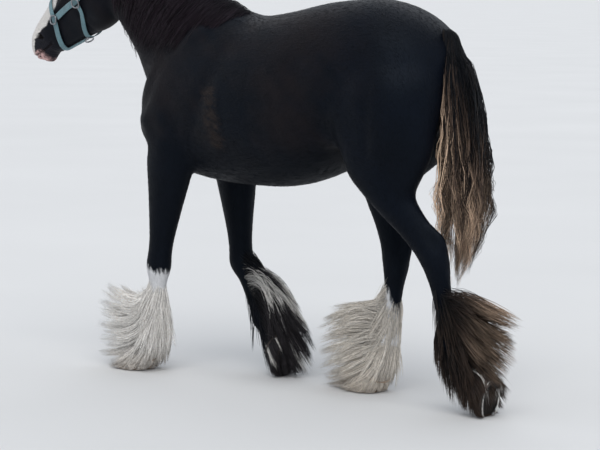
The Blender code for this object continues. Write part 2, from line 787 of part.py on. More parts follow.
def loose_pieces(obj):
    """The mesh's separate closed pieces, as lists of face indices."""
    work = bmesh.new()
    work.from_mesh(obj.data)
    seen, found = set(), []
    for face in work.faces:
        if face in seen:
            continue
        stack, piece = [face], []
        seen.add(face)
        while stack:
            here = stack.pop()
            piece.append(here)
            for edge in here.edges:
                for other in edge.link_faces:
                    if other not in seen:
                        seen.add(other)
                        stack.append(other)
        found.append([f.index for f in piece])
    work.free()
    return found


def only(obj, faces):
    """Some of an object's faces, given by index."""
    work = bmesh.new()
    work.from_mesh(obj.data)
    work.faces.ensure_lookup_table()
    keep = set(faces)
    bmesh.ops.delete(work, geom=[f for f in work.faces if f.index not in keep], context="FACES")
    return work


def middle_of(obj, faces):
    points = [obj.data.polygons[f].center for f in faces]
    return sum(points, Vector()) / len(points)


def largest_only(obj):
    """Keeps the largest piece of a mesh."""
    pieces = loose_pieces(obj)
    if len(pieces) > 1:
        work = only(obj, max(pieces, key=len))
        work.to_mesh(obj.data)
        work.free()


def flesh_names():
    """Where the middle of each piece of flesh lies, nearly."""
    names = {
        "head": in_head(0.25, 0, -0.03),
        "neck": Vector((-0.66, 0, 1.40)),
        "trunk": Vector((0.02, 0, 1.08)),
    }
    for word, table in (("fore", FORE_JOINTS), ("hind", HIND_JOINTS)):
        for side, joints in table.items():
            label = "near" if side == NEAR else "off"
            names[f"{label}_{word}_leg"] = between(joints, 1, 0.75)[0]
            names[f"{label}_{word}_shank"] = between(joints, 2, 0.85)[0]
    return names


def parted(flesh, hooves, material):
    """Cuts the flesh and gives each piece its name."""
    tool = joined("cuts", cuts(hooves))
    boolean(flesh, tool)
    drop(tool)
    names = flesh_names()
    pieces = sorted(loose_pieces(flesh), key=len, reverse=True)[: len(names) + len(hooves)]
    made = {}
    for name, spot in names.items():
        nearest = min(pieces, key=lambda piece: (middle_of(flesh, piece) - spot).length)
        pieces.remove(nearest)
        made[name] = placed(name, only(flesh, nearest), material)
    drop(flesh)
    return made


# Ears and eyes

def ear(side):
    """A cupped ear, open to the front and side."""
    base = in_head(0.012, side * 0.052, 0.078)
    along, across, up = head_axes()
    line = (up * 0.86 - along * 0.45 + across * side * 0.16).normalized()
    opening = (along * 0.75 + across * side * 0.66).normalized()
    opening = (opening - line * opening.dot(line)).normalized()
    wide = line.cross(opening)
    rings = []
    for share, half, deep in EAR:
        middle = base + line * share * EAR_LENGTH - opening * 0.016 * share**2
        ring = []
        for angle in np.linspace(0, 2 * math.pi, 10, endpoint=False):
            forward = math.cos(angle)
            cup = 0.55 if forward > 0 and share > 0.1 else 1.0
            hollow = -0.5 if forward > 0.5 and 0.1 < share < 0.95 else cup
            ring.append(middle + wide * half * math.sin(angle) + opening * deep * forward * hollow)
        rings.append(ring)
    return shell(rings)


def eye_place(side):
    return in_head(0.180, side * 0.093, 0.040)


def eye(side):
    work = bmesh.new()
    place = Matrix.Translation(eye_place(side))
    bmesh.ops.create_uvsphere(work, u_segments=10, v_segments=7, radius=EYE_RADIUS, matrix=place)
    return work


# Long hair

def tail_volume():
    return limb([(x, 0, z, deep, deep, wide) for x, z, deep, wide in TAIL], per_span=3, rounded=False)


def feather_volume(stations):
    work = limb(stations, per_span=3, rounded=False)
    for vert in work.verts:
        vert.co.z = max(vert.co.z, HAIR_CLEARANCE)
    return work


def mane_volume():
    """From the crest down over the near side of the neck. What lies inside the neck is cut away after."""
    rings = []
    stations = np.column_stack([np.array(NECK), MANE_DROP])
    for crest_x, crest_z, under_x, under_z, half, y, drop_by in through(stations, 3):
        crest, under = np.array((crest_x, y, crest_z)), np.array((under_x, y, under_z))
        reach = np.linalg.norm(crest - under)
        up = (crest - under) / reach
        centre = under + up * reach * 0.44
        above = reach * 0.56
        if drop_by < above:
            last = math.pi - math.asin(((above - drop_by) / above) ** 0.9)
        else:
            last = math.pi + math.asin(((drop_by - above) / (reach * 0.44)) ** 1.05)
        arc = np.linspace(math.radians(66), last, 14)
        outer = section(centre, up, (0, 1, 0), above + MANE_THICKNESS, reach * 0.44 + MANE_THICKNESS,
                        half + MANE_THICKNESS, 1.8, 2.1, arc)
        inner = section(centre, up, (0, 1, 0), above * 0.75, reach * 0.35, half * 0.6, 1.8, 2.1, arc)
        rings.append(np.vstack([outer, inner[::-1]]))
    return shell(rings)


def forelock_volume():
    """Between the ears and down the forehead."""
    rings = []
    for along, up, half, deep in FORELOCK:
        ring = []
        for angle in np.linspace(0, 2 * math.pi, 14, endpoint=False):
            drop_by = 0.022 * math.sin(angle) ** 2
            ring.append(in_head(along, half * math.sin(angle), up + deep * math.cos(angle) - drop_by))
        rings.append(ring)
    return shell(rings)


def hair_solid(name, work, triangles, material):
    made = fused(name, [work], HAIR_VOXEL)
    relaxed(made, 3)
    thinned(made, triangles)
    made.data.materials.clear()
    made.data.materials.append(material)
    return made


# Headcollar

def on_head(tree, along, degrees):
    """Where the flesh lies, seen from the middle of the head: a point and the outward direction."""
    angle = math.radians(degrees)
    middle = in_head(along, 0, HEAD_MIDDLE)
    out = (in_head(along, math.sin(angle), HEAD_MIDDLE + math.cos(angle)) - middle).normalized()
    hit = tree.ray_cast(middle + out * 0.30, -out)[0]
    return hit, out


def tightened(points, middles, closed):
    """Pulls a line of points taut over what it lies on, as a strap would lie."""
    points = np.array(points, float)
    for _ in range(TAUT_PASSES):
        mean = (np.roll(points, 1, axis=0) + np.roll(points, -1, axis=0)) / 2
        further = np.linalg.norm(mean - middles, axis=1) > np.linalg.norm(points - middles, axis=1)
        if not closed:
            further[[0, -1]] = False
        points[further] = mean[further]
    return points


def webbing(tree, path, closed=False, width=WEB_WIDTH):
    """A flat strap over the head, along a path of distances along the head and degrees round it."""
    found = [on_head(tree, along, degrees) for along, degrees in path]
    middles = np.array([in_head(along, 0, HEAD_MIDDLE) for along, _ in path])
    points = tightened([p for p, _ in found], middles, closed)
    outs = np.array([out for _, out in found])
    tangents = np.roll(points, -1, axis=0) - np.roll(points, 1, axis=0)
    if not closed:
        tangents = np.gradient(points, axis=0)
    rows = []
    work = bmesh.new()
    for point, tangent, out in zip(points, tangents, outs):
        wide = np.cross(tangent, out)
        wide /= np.linalg.norm(wide)
        out = np.cross(wide, tangent)
        out /= np.linalg.norm(out)
        edges = []
        for edge in (-wide * width / 2, wide * width / 2):
            start = Vector(point + edge + out * EDGE_REACH)
            hit, _, _, far = tree.ray_cast(start, Vector(-out), 1.5 * EDGE_REACH)
            edges.append(EDGE_REACH - far if hit else -0.01)
        tilt = np.clip((edges[1] - edges[0]) / 2, -0.006, 0.006)
        rise = max(0.0, (edges[0] + edges[1]) / 2) + STRAP_LIFT
        low = [point + edge + out * (rise + lean)
               for edge, lean in ((-wide * width / 2, -tilt), (wide * width / 2, tilt))]
        high = [p + out * WEB_THICKNESS for p in low]
        rows.append([work.verts.new(v) for v in (low[0], low[1], high[1], high[0])])
    spans = list(zip(rows, rows[1:]))
    if closed:
        spans.append((rows[-1], rows[0]))
    for a, b in spans:
        for k in range(4):
            m = (k + 1) % 4
            work.faces.new((a[k], a[m], b[m], b[k]))
    if not closed:
        work.faces.new(rows[0])
        work.faces.new(rows[-1])
    bmesh.ops.recalc_face_normals(work, faces=work.faces)
    return work


def mirrored(half_path, steps):
    """A path given for the near side, followed by the same on the off side."""
    rows = [tuple(row) for row in through(half_path, steps)]
    return rows + [(along, -degrees % 360) for along, degrees in rows[-2::-1]]


def ring(tree, at, radius=RING_RADIUS):
    """A wire ring lying on the webbing."""
    spot, out = on_head(tree, *at)
    clear = STRAP_LIFT + WEB_THICKNESS + WIRE_RADIUS + RING_LIFT
    place = Matrix.Translation(spot + out * clear) @ out.to_track_quat("Z", "Y").to_matrix().to_4x4()
    rings = []
    for angle in turn(10):
        middle = Vector((math.cos(angle), math.sin(angle), 0)) * radius
        axis = middle.normalized()
        rings.append([
            middle + (axis * math.cos(t) + Vector((0, 0, 1)) * math.sin(t)) * WIRE_RADIUS for t in turn(4)
        ])
    work = bmesh.new()
    rows = [[work.verts.new(p) for p in row] for row in rings]
    for i, row in enumerate(rows):
        after = rows[(i + 1) % len(rows)]
        for k in range(4):
            m = (k + 1) % 4
            work.faces.new((row[k], row[m], after[m], after[k]))
    bmesh.ops.recalc_face_normals(work, faces=work.faces)
    bmesh.ops.transform(work, matrix=place, verts=work.verts)
    return work


def headcollar(tree, under, web, metal):
    """Straps and rings. What lies under them is given, so that the straps keep clear of it."""
    rings = {"jaw_ring": ring(tree, JAW_RING_AT)}
    for label, sign in (("near", 1), ("off", -1)):
        for name, (along, degrees) in (("nose_ring", NOSE_RING_AT), ("cheek_ring", CHEEK_RING_AT)):
            rings[f"{label}_{name}"] = ring(tree, (along, sign * degrees))
    made = {name: placed(name, work, metal) for name, work in rings.items()}
    narrow = 0.8 * WEB_WIDTH
    straps = {
        "noseband": webbing(tree, mirrored(NOSEBAND, 2)[:-1], closed=True),
        "headpiece": webbing(tree, mirrored(HEADPIECE, 2)),
        "throat_strap": webbing(tree, mirrored(THROAT_STRAP, 2), width=narrow),
        "jaw_strap": webbing(tree, JAW_STRAP, width=narrow),
    }
    for name, work in straps.items():
        strap = placed(name, work, web)
        cleared(strap, under + list(made.values()), STRAP_LIFT)
        largest_only(strap)
        made[name] = strap
    return made


def centred(pieces):
    """Moves everything so that the origin lies on the floor under the middle of the whole."""
    points = np.vstack([points_of(obj.data) for obj in pieces])
    low, high = points.min(axis=0), points.max(axis=0)
    shift = Vector((-(low[0] + high[0]) / 2, -(low[1] + high[1]) / 2, -low[2]))
    for obj in pieces:
        obj.data.transform(Matrix.Translation(shift))


def side_label(side):
    return "near" if side == NEAR else "off"


def flesh_and_hooves(paints):
    """The coat's surface as separate pieces, the hooves, and a tree to find that surface with."""
    flesh = fused("flesh", body_shells() + head_shells(), BODY_VOXEL)
    relaxed(flesh, FLESH_PASSES, smoothing_of(points_of(flesh.data)))
    grown(flesh, COAT_DEPTH)
    thinned(flesh, FLESH_TRIANGLES)
    tree = BVHTree.FromObject(flesh, bpy.context.evaluated_depsgraph_get())
    places = {}
    for word, table, tips in (("fore", FORE_JOINTS, FORE_TIP), ("hind", HIND_JOINTS, HIND_TIP)):
        for side, joints in table.items():
            places[f"{side_label(side)}_{word}_hoof"] = hoof_place(joints, tips[side])
    parts = parted(flesh, places.values(), paints["coat"])
    for name, place in places.items():
        parts[name] = placed(name, hoof(place), paints["horn"])
    return parts, tree


def add_eyes_and_ears(parts, paints):
    for side in (NEAR, OFF):
        name = f"{side_label(side)}_eye"
        parts[name] = placed(name, eye(-side), paints["eye"])
        cleared(parts["head"], [parts[name]])
    for side in (NEAR, OFF):
        name = f"{side_label(side)}_ear"
        parts[name] = placed(name, ear(-side), paints["coat"])
        cleared(parts[name], [parts["head"]])
        largest_only(parts[name])


def add_hair(parts, name, work, triangles, material, near_by):
    """Long hair, cut clear of what it lies against."""
    parts[name] = hair_solid(name, work, triangles, material)
    cleared(parts[name], near_by, HAIR_GAP)
    largest_only(parts[name])


def add_long_hair(parts, paints):
    for word, table in (("fore", FORE_FEATHER), ("hind", HIND_FEATHER)):
        for side, stations in table.items():
            limb_name = f"{side_label(side)}_{word}"
            name = f"{limb_name}_feather"
            paint = paints["pale_hair" if name in PALE_FEATHERS else "dark_hair"]
            near_by = [parts[f"{limb_name}_{end}"] for end in ("leg", "shank", "hoof")]
            add_hair(parts, name, feather_volume(stations), FEATHER_TRIANGLES, paint, near_by)
    dark = paints["dark_hair"]
    near_by = [parts[name] for name in ("neck", "trunk", "head", "near_ear", "off_ear", "headpiece")]
    add_hair(parts, "mane", mane_volume(), MANE_TRIANGLES, dark, near_by)
    near_by = [parts[name] for name in ("head", "near_ear", "off_ear", "mane", "headpiece")]
    add_hair(parts, "forelock", forelock_volume(), FORELOCK_TRIANGLES, dark, near_by)
    near_by = [parts[name] for name in ("trunk", "near_hind_leg", "near_hind_feather")]
    add_hair(parts, "tail", tail_volume(), TAIL_TRIANGLES, dark, near_by)


def main():
    for old in list(bpy.data.objects):
        drop(old)
    paints = {name: painted(name, *looks) for name, looks in PAINTS.items()}
    parts, tree = flesh_and_hooves(paints)
    add_eyes_and_ears(parts, paints)
    under = [parts[name] for name in ("head", "neck", "near_ear", "off_ear")]
    parts.update(headcollar(tree, under, paints["webbing"], paints["metal"]))
    add_long_hair(parts, paints)
    centred(parts.values())


main()
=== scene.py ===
"""The looks of the cob horse: one skin with its markings, coat, long hair, hooves, eyes and headcollar.

Metres, +Z up. The horse faces -X, its near (left) side is towards -Y. Shapes are made in the construction
frame, whose x = 0 is the middle of the back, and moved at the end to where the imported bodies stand.
"""

import math

import bmesh
import bpy
import numpy as np
from mathutils import Matrix, Vector
from mathutils.bvhtree import BVHTree


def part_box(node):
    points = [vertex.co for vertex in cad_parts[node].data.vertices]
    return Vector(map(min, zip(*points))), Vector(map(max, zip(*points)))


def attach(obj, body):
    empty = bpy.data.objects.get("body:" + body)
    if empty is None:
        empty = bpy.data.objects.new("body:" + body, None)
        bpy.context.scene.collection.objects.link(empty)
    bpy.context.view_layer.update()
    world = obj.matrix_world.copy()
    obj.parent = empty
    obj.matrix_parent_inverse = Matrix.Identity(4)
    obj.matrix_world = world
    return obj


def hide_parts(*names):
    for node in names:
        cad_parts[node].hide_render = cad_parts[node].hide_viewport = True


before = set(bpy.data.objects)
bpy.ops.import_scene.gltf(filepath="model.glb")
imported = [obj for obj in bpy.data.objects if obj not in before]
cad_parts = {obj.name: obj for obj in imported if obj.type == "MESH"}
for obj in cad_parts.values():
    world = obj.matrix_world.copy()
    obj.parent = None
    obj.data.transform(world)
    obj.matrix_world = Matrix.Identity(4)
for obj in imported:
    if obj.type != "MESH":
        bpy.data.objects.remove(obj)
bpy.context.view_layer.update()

NEAR, OFF = -1, 1

# Main sizes
HEAD_MIDDLE = -0.025  # height in the head's frame from which its surface is found
COAT_DEPTH = 0.004  # the short coat stands this far off the skin
NECK_ABOVE = 0.56  # share of the neck above its widest line
NECK_BELOW = 0.44
EYE_RADIUS = 0.021
EAR_LENGTH = 0.165
HOOF_LENGTH = 0.140  # toe to heel, on the ground
HOOF_WIDTH = 0.130
TOE_HEIGHT = 0.088
HEEL_HEIGHT = 0.045
TOE_ANGLE = math.radians(52)
WEB_WIDTH = 0.026  # of the headcollar's webbing
NARROW_WIDTH = 0.8 * WEB_WIDTH  # of the throat and jaw straps
WEB_THICKNESS = 0.004
STRAP_LIFT = 0.0012  # between the webbing and the head
STRAP_POINTS = 16  # round a strap's section

RING_POINTS = 32
TOE_FLAT = 0.009  # how much of a tipped hoof's edge is worn flat

# The head's own frame: it starts inside the poll and points down to the muzzle
POLL = Vector((-0.905, -0.010, 1.592))
HEAD_SLOPE = math.radians(34.5)  # below the horizon
HEAD_TURN = math.radians(-6)  # to the near side

# Trunk stations from the breast to the buttocks:
# x, top, height of the widest point, bottom, half width, fullness above and below
TRUNK = (
    (-0.685, 1.12, 1.03, 0.94, 0.085, 2.0, 2.0),
    (-0.650, 1.20, 1.03, 0.88, 0.150, 2.0, 2.0),
    (-0.590, 1.28, 1.03, 0.820, 0.195, 2.0, 2.2),
    (-0.500, 1.345, 1.04, 0.780, 0.222, 1.9, 2.2),
    (-0.400, 1.390, 1.04, 0.760, 0.240, 1.8, 2.2),
    (-0.290, 1.415, 1.04, 0.748, 0.255, 1.7, 2.2),
    (-0.170, 1.385, 1.03, 0.745, 0.275, 1.9, 2.2),
    (0.000, 1.405, 1.03, 0.752, 0.288, 2.1, 2.2),
    (0.160, 1.438, 1.06, 0.800, 0.288, 2.2, 2.2),
    (0.300, 1.452, 1.12, 0.890, 0.270, 2.3, 2.1),
    (0.400, 1.455, 1.17, 0.915, 0.260, 2.3, 2.0),
    (0.500, 1.430, 1.18, 0.940, 0.250, 2.3, 2.0),
    (0.585, 1.388, 1.17, 0.960, 0.222, 2.2, 2.0),
    (0.650, 1.338, 1.15, 0.990, 0.175, 2.0, 2.0),
    (0.695, 1.27, 1.14, 1.04, 0.105, 2.0, 2.0),
)

# Neck stations from the withers to the poll: crest x and z, underside x and z, half width, y of the middle
NECK = (
    (-0.200, 1.360, -0.560, 0.930, 0.185, 0.0),
    (-0.300, 1.418, -0.655, 1.030, 0.168, 0.0),
    (-0.415, 1.468, -0.715, 1.115, 0.136, 0.0),
    (-0.540, 1.530, -0.762, 1.195, 0.108, 0.0),
    (-0.665, 1.592, -0.815, 1.268, 0.093, -0.001),
    (-0.780, 1.643, -0.868, 1.335, 0.084, -0.003),
    (-0.860, 1.662, -0.925, 1.395, 0.076, -0.006),
)

# Head stations from the poll to the lips, in the head's own frame: distance along the head, top, bottom,
# half width near the top, at the middle and near the bottom, height of the middle
HEAD = (
    (-0.030, 0.050, -0.065, 0.045, 0.060, 0.045, 0.00),
    (0.020, 0.090, -0.120, 0.056, 0.078, 0.055, 0.01),
    (0.085, 0.109, -0.168, 0.068, 0.092, 0.058, 0.02),
    (0.150, 0.116, -0.190, 0.076, 0.101, 0.058, 0.03),
    (0.210, 0.110, -0.187, 0.070, 0.100, 0.054, 0.03),
    (0.270, 0.096, -0.168, 0.057, 0.088, 0.048, 0.02),
    (0.330, 0.087, -0.152, 0.047, 0.072, 0.041, 0.01),
    (0.395, 0.077, -0.137, 0.042, 0.062, 0.036, 0.00),
    (0.455, 0.066, -0.122, 0.039, 0.057, 0.034, -0.008),
    (0.510, 0.055, -0.108, 0.038, 0.057, 0.034, -0.015),
    (0.560, 0.038, -0.099, 0.037, 0.058, 0.035, -0.022),
    (0.600, 0.011, -0.085, 0.028, 0.047, 0.031, -0.030),
    (0.622, -0.018, -0.062, 0.013, 0.027, 0.016, -0.038),
)

# Joints of each leg. Fore: shoulder, elbow, knee, fetlock, coronet.
# Hind: hip, stifle, hock, fetlock, coronet.
FORE_JOINTS = {
    NEAR: (
        (-0.550, -0.150, 0.985), (-0.480, -0.165, 0.855), (-0.558, -0.150, 0.425),
        (-0.592, -0.136, 0.188), (-0.650, -0.128, 0.078),
    ),
    OFF: (
        (-0.535, 0.150, 0.985), (-0.440, 0.165, 0.855), (-0.392, 0.150, 0.425),
        (-0.270, 0.128, 0.206), (-0.190, 0.116, 0.134),
    ),
}
HIND_JOINTS = {
    NEAR: (
        (0.470, -0.130, 1.170), (0.445, -0.165, 0.875), (0.714, -0.125, 0.548),
        (0.752, -0.078, 0.246), (0.858, -0.052, 0.137),
    ),
    OFF: (
        (0.450, 0.130, 1.170), (0.235, 0.165, 0.885), (0.374, 0.120, 0.500),
        (0.360, 0.090, 0.190), (0.313, 0.080, 0.078),
    ),
}

# Leg sections: which joint they follow, share of the way to the next, front, back and half width
FORE_SECTIONS = (
    (1, -0.10, 0.095, 0.090, 0.076),
    (1, 0.08, 0.106, 0.098, 0.072),
    (1, 0.25, 0.092, 0.088, 0.065),
    (1, 0.50, 0.070, 0.068, 0.056),
    (1, 0.75, 0.052, 0.052, 0.046),
    (1, 0.90, 0.048, 0.049, 0.043),
    (2, 0.00, 0.050, 0.054, 0.046),
    (2, 0.14, 0.045, 0.050, 0.041),
    (2, 0.30, 0.034, 0.041, 0.032),
    (2, 0.60, 0.031, 0.039, 0.029),
    (2, 0.85, 0.033, 0.042, 0.032),
    (3, 0.00, 0.038, 0.048, 0.039),
    (3, 0.35, 0.034, 0.040, 0.035),
    (3, 0.75, 0.042, 0.040, 0.041),
    (3, 1.15, 0.052, 0.044, 0.048),
)
HIND_SECTIONS = (
    (1, 0.00, 0.086, 0.110, 0.085),
    (1, 0.20, 0.082, 0.092, 0.078),
    (1, 0.42, 0.074, 0.074, 0.062),
    (1, 0.65, 0.058, 0.058, 0.048),
    (1, 0.85, 0.052, 0.048, 0.043),
    (2, 0.00, 0.058, 0.052, 0.048),
    (2, 0.16, 0.046, 0.050, 0.041),
    (2, 0.32, 0.036, 0.043, 0.033),
    (2, 0.60, 0.032, 0.039, 0.029),
    (2, 0.87, 0.034, 0.042, 0.032),
    (3, 0.00, 0.039, 0.049, 0.039),
    (3, 0.35, 0.034, 0.041, 0.035),
    (3, 0.75, 0.042, 0.040, 0.041),
    (3, 1.15, 0.052, 0.044, 0.048),
)

# Outer bounds of the long hair. Tail stations: x, z, half depth, half width.
TAIL = (
    (0.640, 1.345, 0.024, 0.030),
    (0.682, 1.330, 0.044, 0.050),
    (0.712, 1.240, 0.060, 0.075),
    (0.728, 1.120, 0.074, 0.098),
    (0.742, 0.960, 0.090, 0.114),
    (0.742, 0.800, 0.106, 0.128),
    (0.748, 0.660, 0.094, 0.116),
    (0.762, 0.550, 0.062, 0.082),
    (0.770, 0.450, 0.024, 0.036),
)
MANE_DROP = (0.10, 0.20, 0.30, 0.34, 0.33, 0.28, 0.22)  # down the near side, from the withers to the poll

# Headcollar: distance along the head, degrees round from its top on the near side
NOSEBAND = ((0.378, 0), (0.384, 45), (0.393, 88), (0.419, 131), (0.446, 163), (0.455, 180))
# From the ring at the noseband up the cheek and behind the ears to the top of the poll
HEADPIECE = (
    (0.373, 90), (0.345, 91), (0.304, 95), (0.240, 104), (0.205, 106), (0.160, 100), (0.112, 88), (0.062, 74),
    (0.016, 60), (-0.020, 42), (-0.030, 20), (-0.032, 0),
)
# From the headpiece's lower ring down to under the jaw
THROAT_STRAP = ((0.222, 118), (0.230, 136), (0.258, 150), (0.286, 163), (0.303, 172), (0.308, 180))
JAW_STRAP = ((0.330, 180), (0.370, 180), (0.410, 180), (0.444, 180))
NOSE_RING_AT = (0.393, 90)
CHEEK_RING_AT = (0.220, 111)
JAW_RING_AT = (0.322, 180)
RING_RADIUS = 0.017
WIRE_RADIUS = 0.003
UPRIGHT = np.array((0, 0, 1))  # the axis of a ring, in its own frame
RING_LIFT = 0.003
TAUT_PASSES = 40
EDGE_REACH = 0.04  # how far off the head a strap's edges are looked for

# Ear stations: share of its length, half width, depth
EAR = (
    (-0.16, 0.020, 0.020), (0.0, 0.023, 0.022), (0.2, 0.029, 0.024), (0.45, 0.031, 0.020),
    (0.7, 0.024, 0.014), (0.88, 0.013, 0.008), (1.0, 0.003, 0.003),
)
# Forelock stations in the head's frame: distance along, height, half width, half depth
FORELOCK = (
    (-0.012, 0.098, 0.020, 0.020), (0.030, 0.112, 0.034, 0.022), (0.090, 0.122, 0.044, 0.020),
    (0.150, 0.124, 0.044, 0.018), (0.205, 0.116, 0.034, 0.014), (0.245, 0.104, 0.016, 0.009),
)

LEGS = {
    "near_fore": FORE_JOINTS[NEAR],
    "off_fore": FORE_JOINTS[OFF],
    "near_hind": HIND_JOINTS[NEAR],
    "off_hind": HIND_JOINTS[OFF],
}
# How far each hoof is tipped forward off its sole, in degrees
HOOF_TIP = {"near_fore": 0.0, "off_fore": 80.0, "near_hind": 75.0, "off_hind": 0.0}
PALE_HOOVES = ("near_fore", "off_hind")
SOLE_RINGS = ((0.30, 0.007), (0.62, 0.006), (0.82, 0.002), (0.90, 0.0))  # share of the outline, height
LEG_TOP = 0.80  # below this height, what is near a leg's middle line belongs to the leg
LEG_REACH = 0.16  # from that line

# Places in the head's own frame: along, to the near side, up
EYE_AT = (0.180, 0.093, 0.040)
NOSTRIL = (0.520, 0.056, -0.022)
# Lines on the side of the head: distances along, heights
MOUTH_LINE = ((0.486, 0.55, 0.59, 0.622), (-0.078, -0.074, -0.064, -0.056))
CREST_LINE = ((0.21, 0.30, 0.39), (0.012, 0.006, 0.004))

# Eyelids, as shares of the eye's radius where they bound the opening
LID_HALF_LENGTH = 0.92
LID_TOP = 0.52
LID_BOTTOM = 0.40
LID_REACH = 0.052  # from the eye's middle, how far the skin is drawn
LID_THICKNESS = 0.0012
LID_EDGE = 0.0014  # how much thicker the upper lid's edge is
LID_CREASE = 0.0016
LID_BLEND = 0.006  # rounds the change from lid to face

NOSTRIL_TURN = math.radians(-38)
NOSTRIL_CURVE = 9.0
NOSTRIL_LENGTH = 0.021
NOSTRIL_WIDTH = 0.011
NOSTRIL_DEPTH = 0.017
NOSTRIL_RIM = 0.0035

# Grooves between muscles: x and z of both ends, width, depth
GROOVES = (
    ((-0.19, 1.26), (-0.33, 0.92), 0.035, 0.008),
    ((-0.52, 1.26), (-0.60, 1.02), 0.030, 0.006),
    ((0.18, 1.20), (0.26, 0.98), 0.050, 0.010),
    ((0.52, 1.16), (0.50, 0.92), 0.026, 0.006),
)
RIB_PITCH = 0.062
RIB_RISE = 0.0011

# Markings. The blaze's edge: distances along the head, degrees round from its top
BLAZE = (
    (0.02, 0.10, 0.20, 0.339, 0.40, 0.463, 0.50, 0.545, 0.575, 0.60),
    (6, 20, 36, 54, 65, 70, 70, 80, 100, 130),
)
# A streak behind the near shoulder: its colour is a painted brown reflection, and the coat grows longer there
SHOULDER_STREAK = ((-0.235, -0.265, 1.10), (-0.205, -0.270, 1.01), (-0.190, -0.265, 0.92))
# Spots on the legs: place, colour, radius
SPOTS = (
    ((-0.372, 0.080, 0.535), (0.60, 0.58, 0.56), 0.014),
    ((-0.545, -0.170, 0.394), (0.02, 0.02, 0.02), 0.008),
)
WHITE_TOP = {"near_fore": 0.408, "off_hind": 0.385}  # heights that the white reaches

# Skin
SKIN_VOXEL = 0.0075
SKIN_PASSES = 46  # of smoothing
BODY_TRIANGLES = 60000
EAR_AROUND = 15  # points across each face of an ear
EAR_WALL = 0.0028

# Short coat
TUFTS = 82000
TUFTS_A_PIECE = 30000
TUFT_LENGTH = 0.020
TUFT_WIDTH = 0.0018
TUFT_RISE = 0.0013
EAR_FOOT = 0.100  # height in the head's frame above which no tufts grow
PATCH = 0.003  # side of each tuft's place on the unwrap

# Long hair
FEATHER_STEPS = 7
FEATHER_HALF = 0.0011
FEATHER_CLUMP = 28  # locks that are drawn together
FAN_SHORTEST = 0.80  # share of its last stretch that a lock keeps at least
FLOOR_GAP = 0.004  # short locks end this far above the floor
SHAFT_LOW = 0.15  # the lowest roots of the short locks on the cannon bone
SHAFT_ROUND = 1.9  # radians to each side that these grow
# What a lock's spot says where it isn't its place along the fan
HOOF_HAIR = 2.0
SHAFT_HAIR = 4.0
HEEL_HAIR = 5.0
TAIL_LOCKS = 3000
TAIL_STEPS = 12
TAIL_CLUMPS = 70
TAIL_HALF = 0.0012
# The tail's bone, from its root: x, y, z
DOCK = ((0.655, 0, 1.352), (0.690, 0, 1.325), (0.712, 0, 1.25), (0.722, 0, 1.14))
MANE_LOCKS = 3200
MANE_STEPS = 8
MANE_HALF = 0.0012
MANE_THICKNESS = 0.034
POLL_SINK = 0.014  # how much lower the last locks of the mane start
FORELOCK_LOCKS = 450

# Rows of a fan of long hair: x and z of root, two bends and tip, and the spread sideways
NEAR_FORE_FAN = (
    (-0.610, 0.345, -0.635, 0.285, -0.720, 0.275, -0.805, 0.325, 0.060),
    (-0.600, 0.345, -0.630, 0.265, -0.725, 0.240, -0.850, 0.290, 0.080),
    (-0.585, 0.345, -0.620, 0.240, -0.720, 0.200, -0.865, 0.240, 0.100),
    (-0.575, 0.335, -0.610, 0.215, -0.710, 0.160, -0.872, 0.182, 0.110),
    (-0.565, 0.315, -0.600, 0.185, -0.700, 0.120, -0.875, 0.125, 0.115),
    (-0.560, 0.285, -0.590, 0.150, -0.690, 0.080, -0.870, 0.068, 0.115),
    (-0.560, 0.245, -0.585, 0.120, -0.670, 0.045, -0.850, 0.030, 0.110),
    (-0.560, 0.200, -0.580, 0.090, -0.650, 0.025, -0.795, 0.006, 0.105),
    (-0.555, 0.210, -0.560, 0.100, -0.600, 0.040, -0.680, 0.006, 0.100),
    (-0.550, 0.255, -0.540, 0.150, -0.555, 0.080, -0.605, 0.025, 0.090),
    (-0.545, 0.310, -0.530, 0.220, -0.525, 0.145, -0.560, 0.075, 0.080),
    (-0.545, 0.345, -0.535, 0.280, -0.528, 0.220, -0.540, 0.150, 0.065),
)
OFF_HIND_FAN = (
    (0.375, 0.425, 0.340, 0.400, 0.315, 0.365, 0.290, 0.325, 0.030),
    (0.380, 0.370, 0.335, 0.350, 0.295, 0.325, 0.225, 0.315, 0.050),
    (0.385, 0.305, 0.320, 0.300, 0.200, 0.335, 0.065, 0.280, 0.080),
    (0.392, 0.295, 0.330, 0.270, 0.200, 0.300, 0.052, 0.240, 0.095),
    (0.396, 0.280, 0.340, 0.235, 0.200, 0.255, 0.048, 0.195, 0.110),
    (0.396, 0.265, 0.345, 0.200, 0.210, 0.205, 0.052, 0.145, 0.115),
    (0.394, 0.245, 0.345, 0.160, 0.220, 0.150, 0.060, 0.095, 0.115),
    (0.390, 0.225, 0.345, 0.130, 0.230, 0.100, 0.070, 0.048, 0.110),
    (0.386, 0.205, 0.345, 0.090, 0.230, 0.035, 0.085, 0.014, 0.105),
    (0.386, 0.195, 0.355, 0.075, 0.260, 0.015, 0.120, 0.008, 0.100),
    (0.390, 0.215, 0.380, 0.110, 0.340, 0.050, 0.260, 0.005, 0.095),
    (0.400, 0.265, 0.400, 0.160, 0.380, 0.080, 0.330, 0.010, 0.085),
    (0.405, 0.350, 0.415, 0.260, 0.410, 0.170, 0.385, 0.085, 0.065),
)
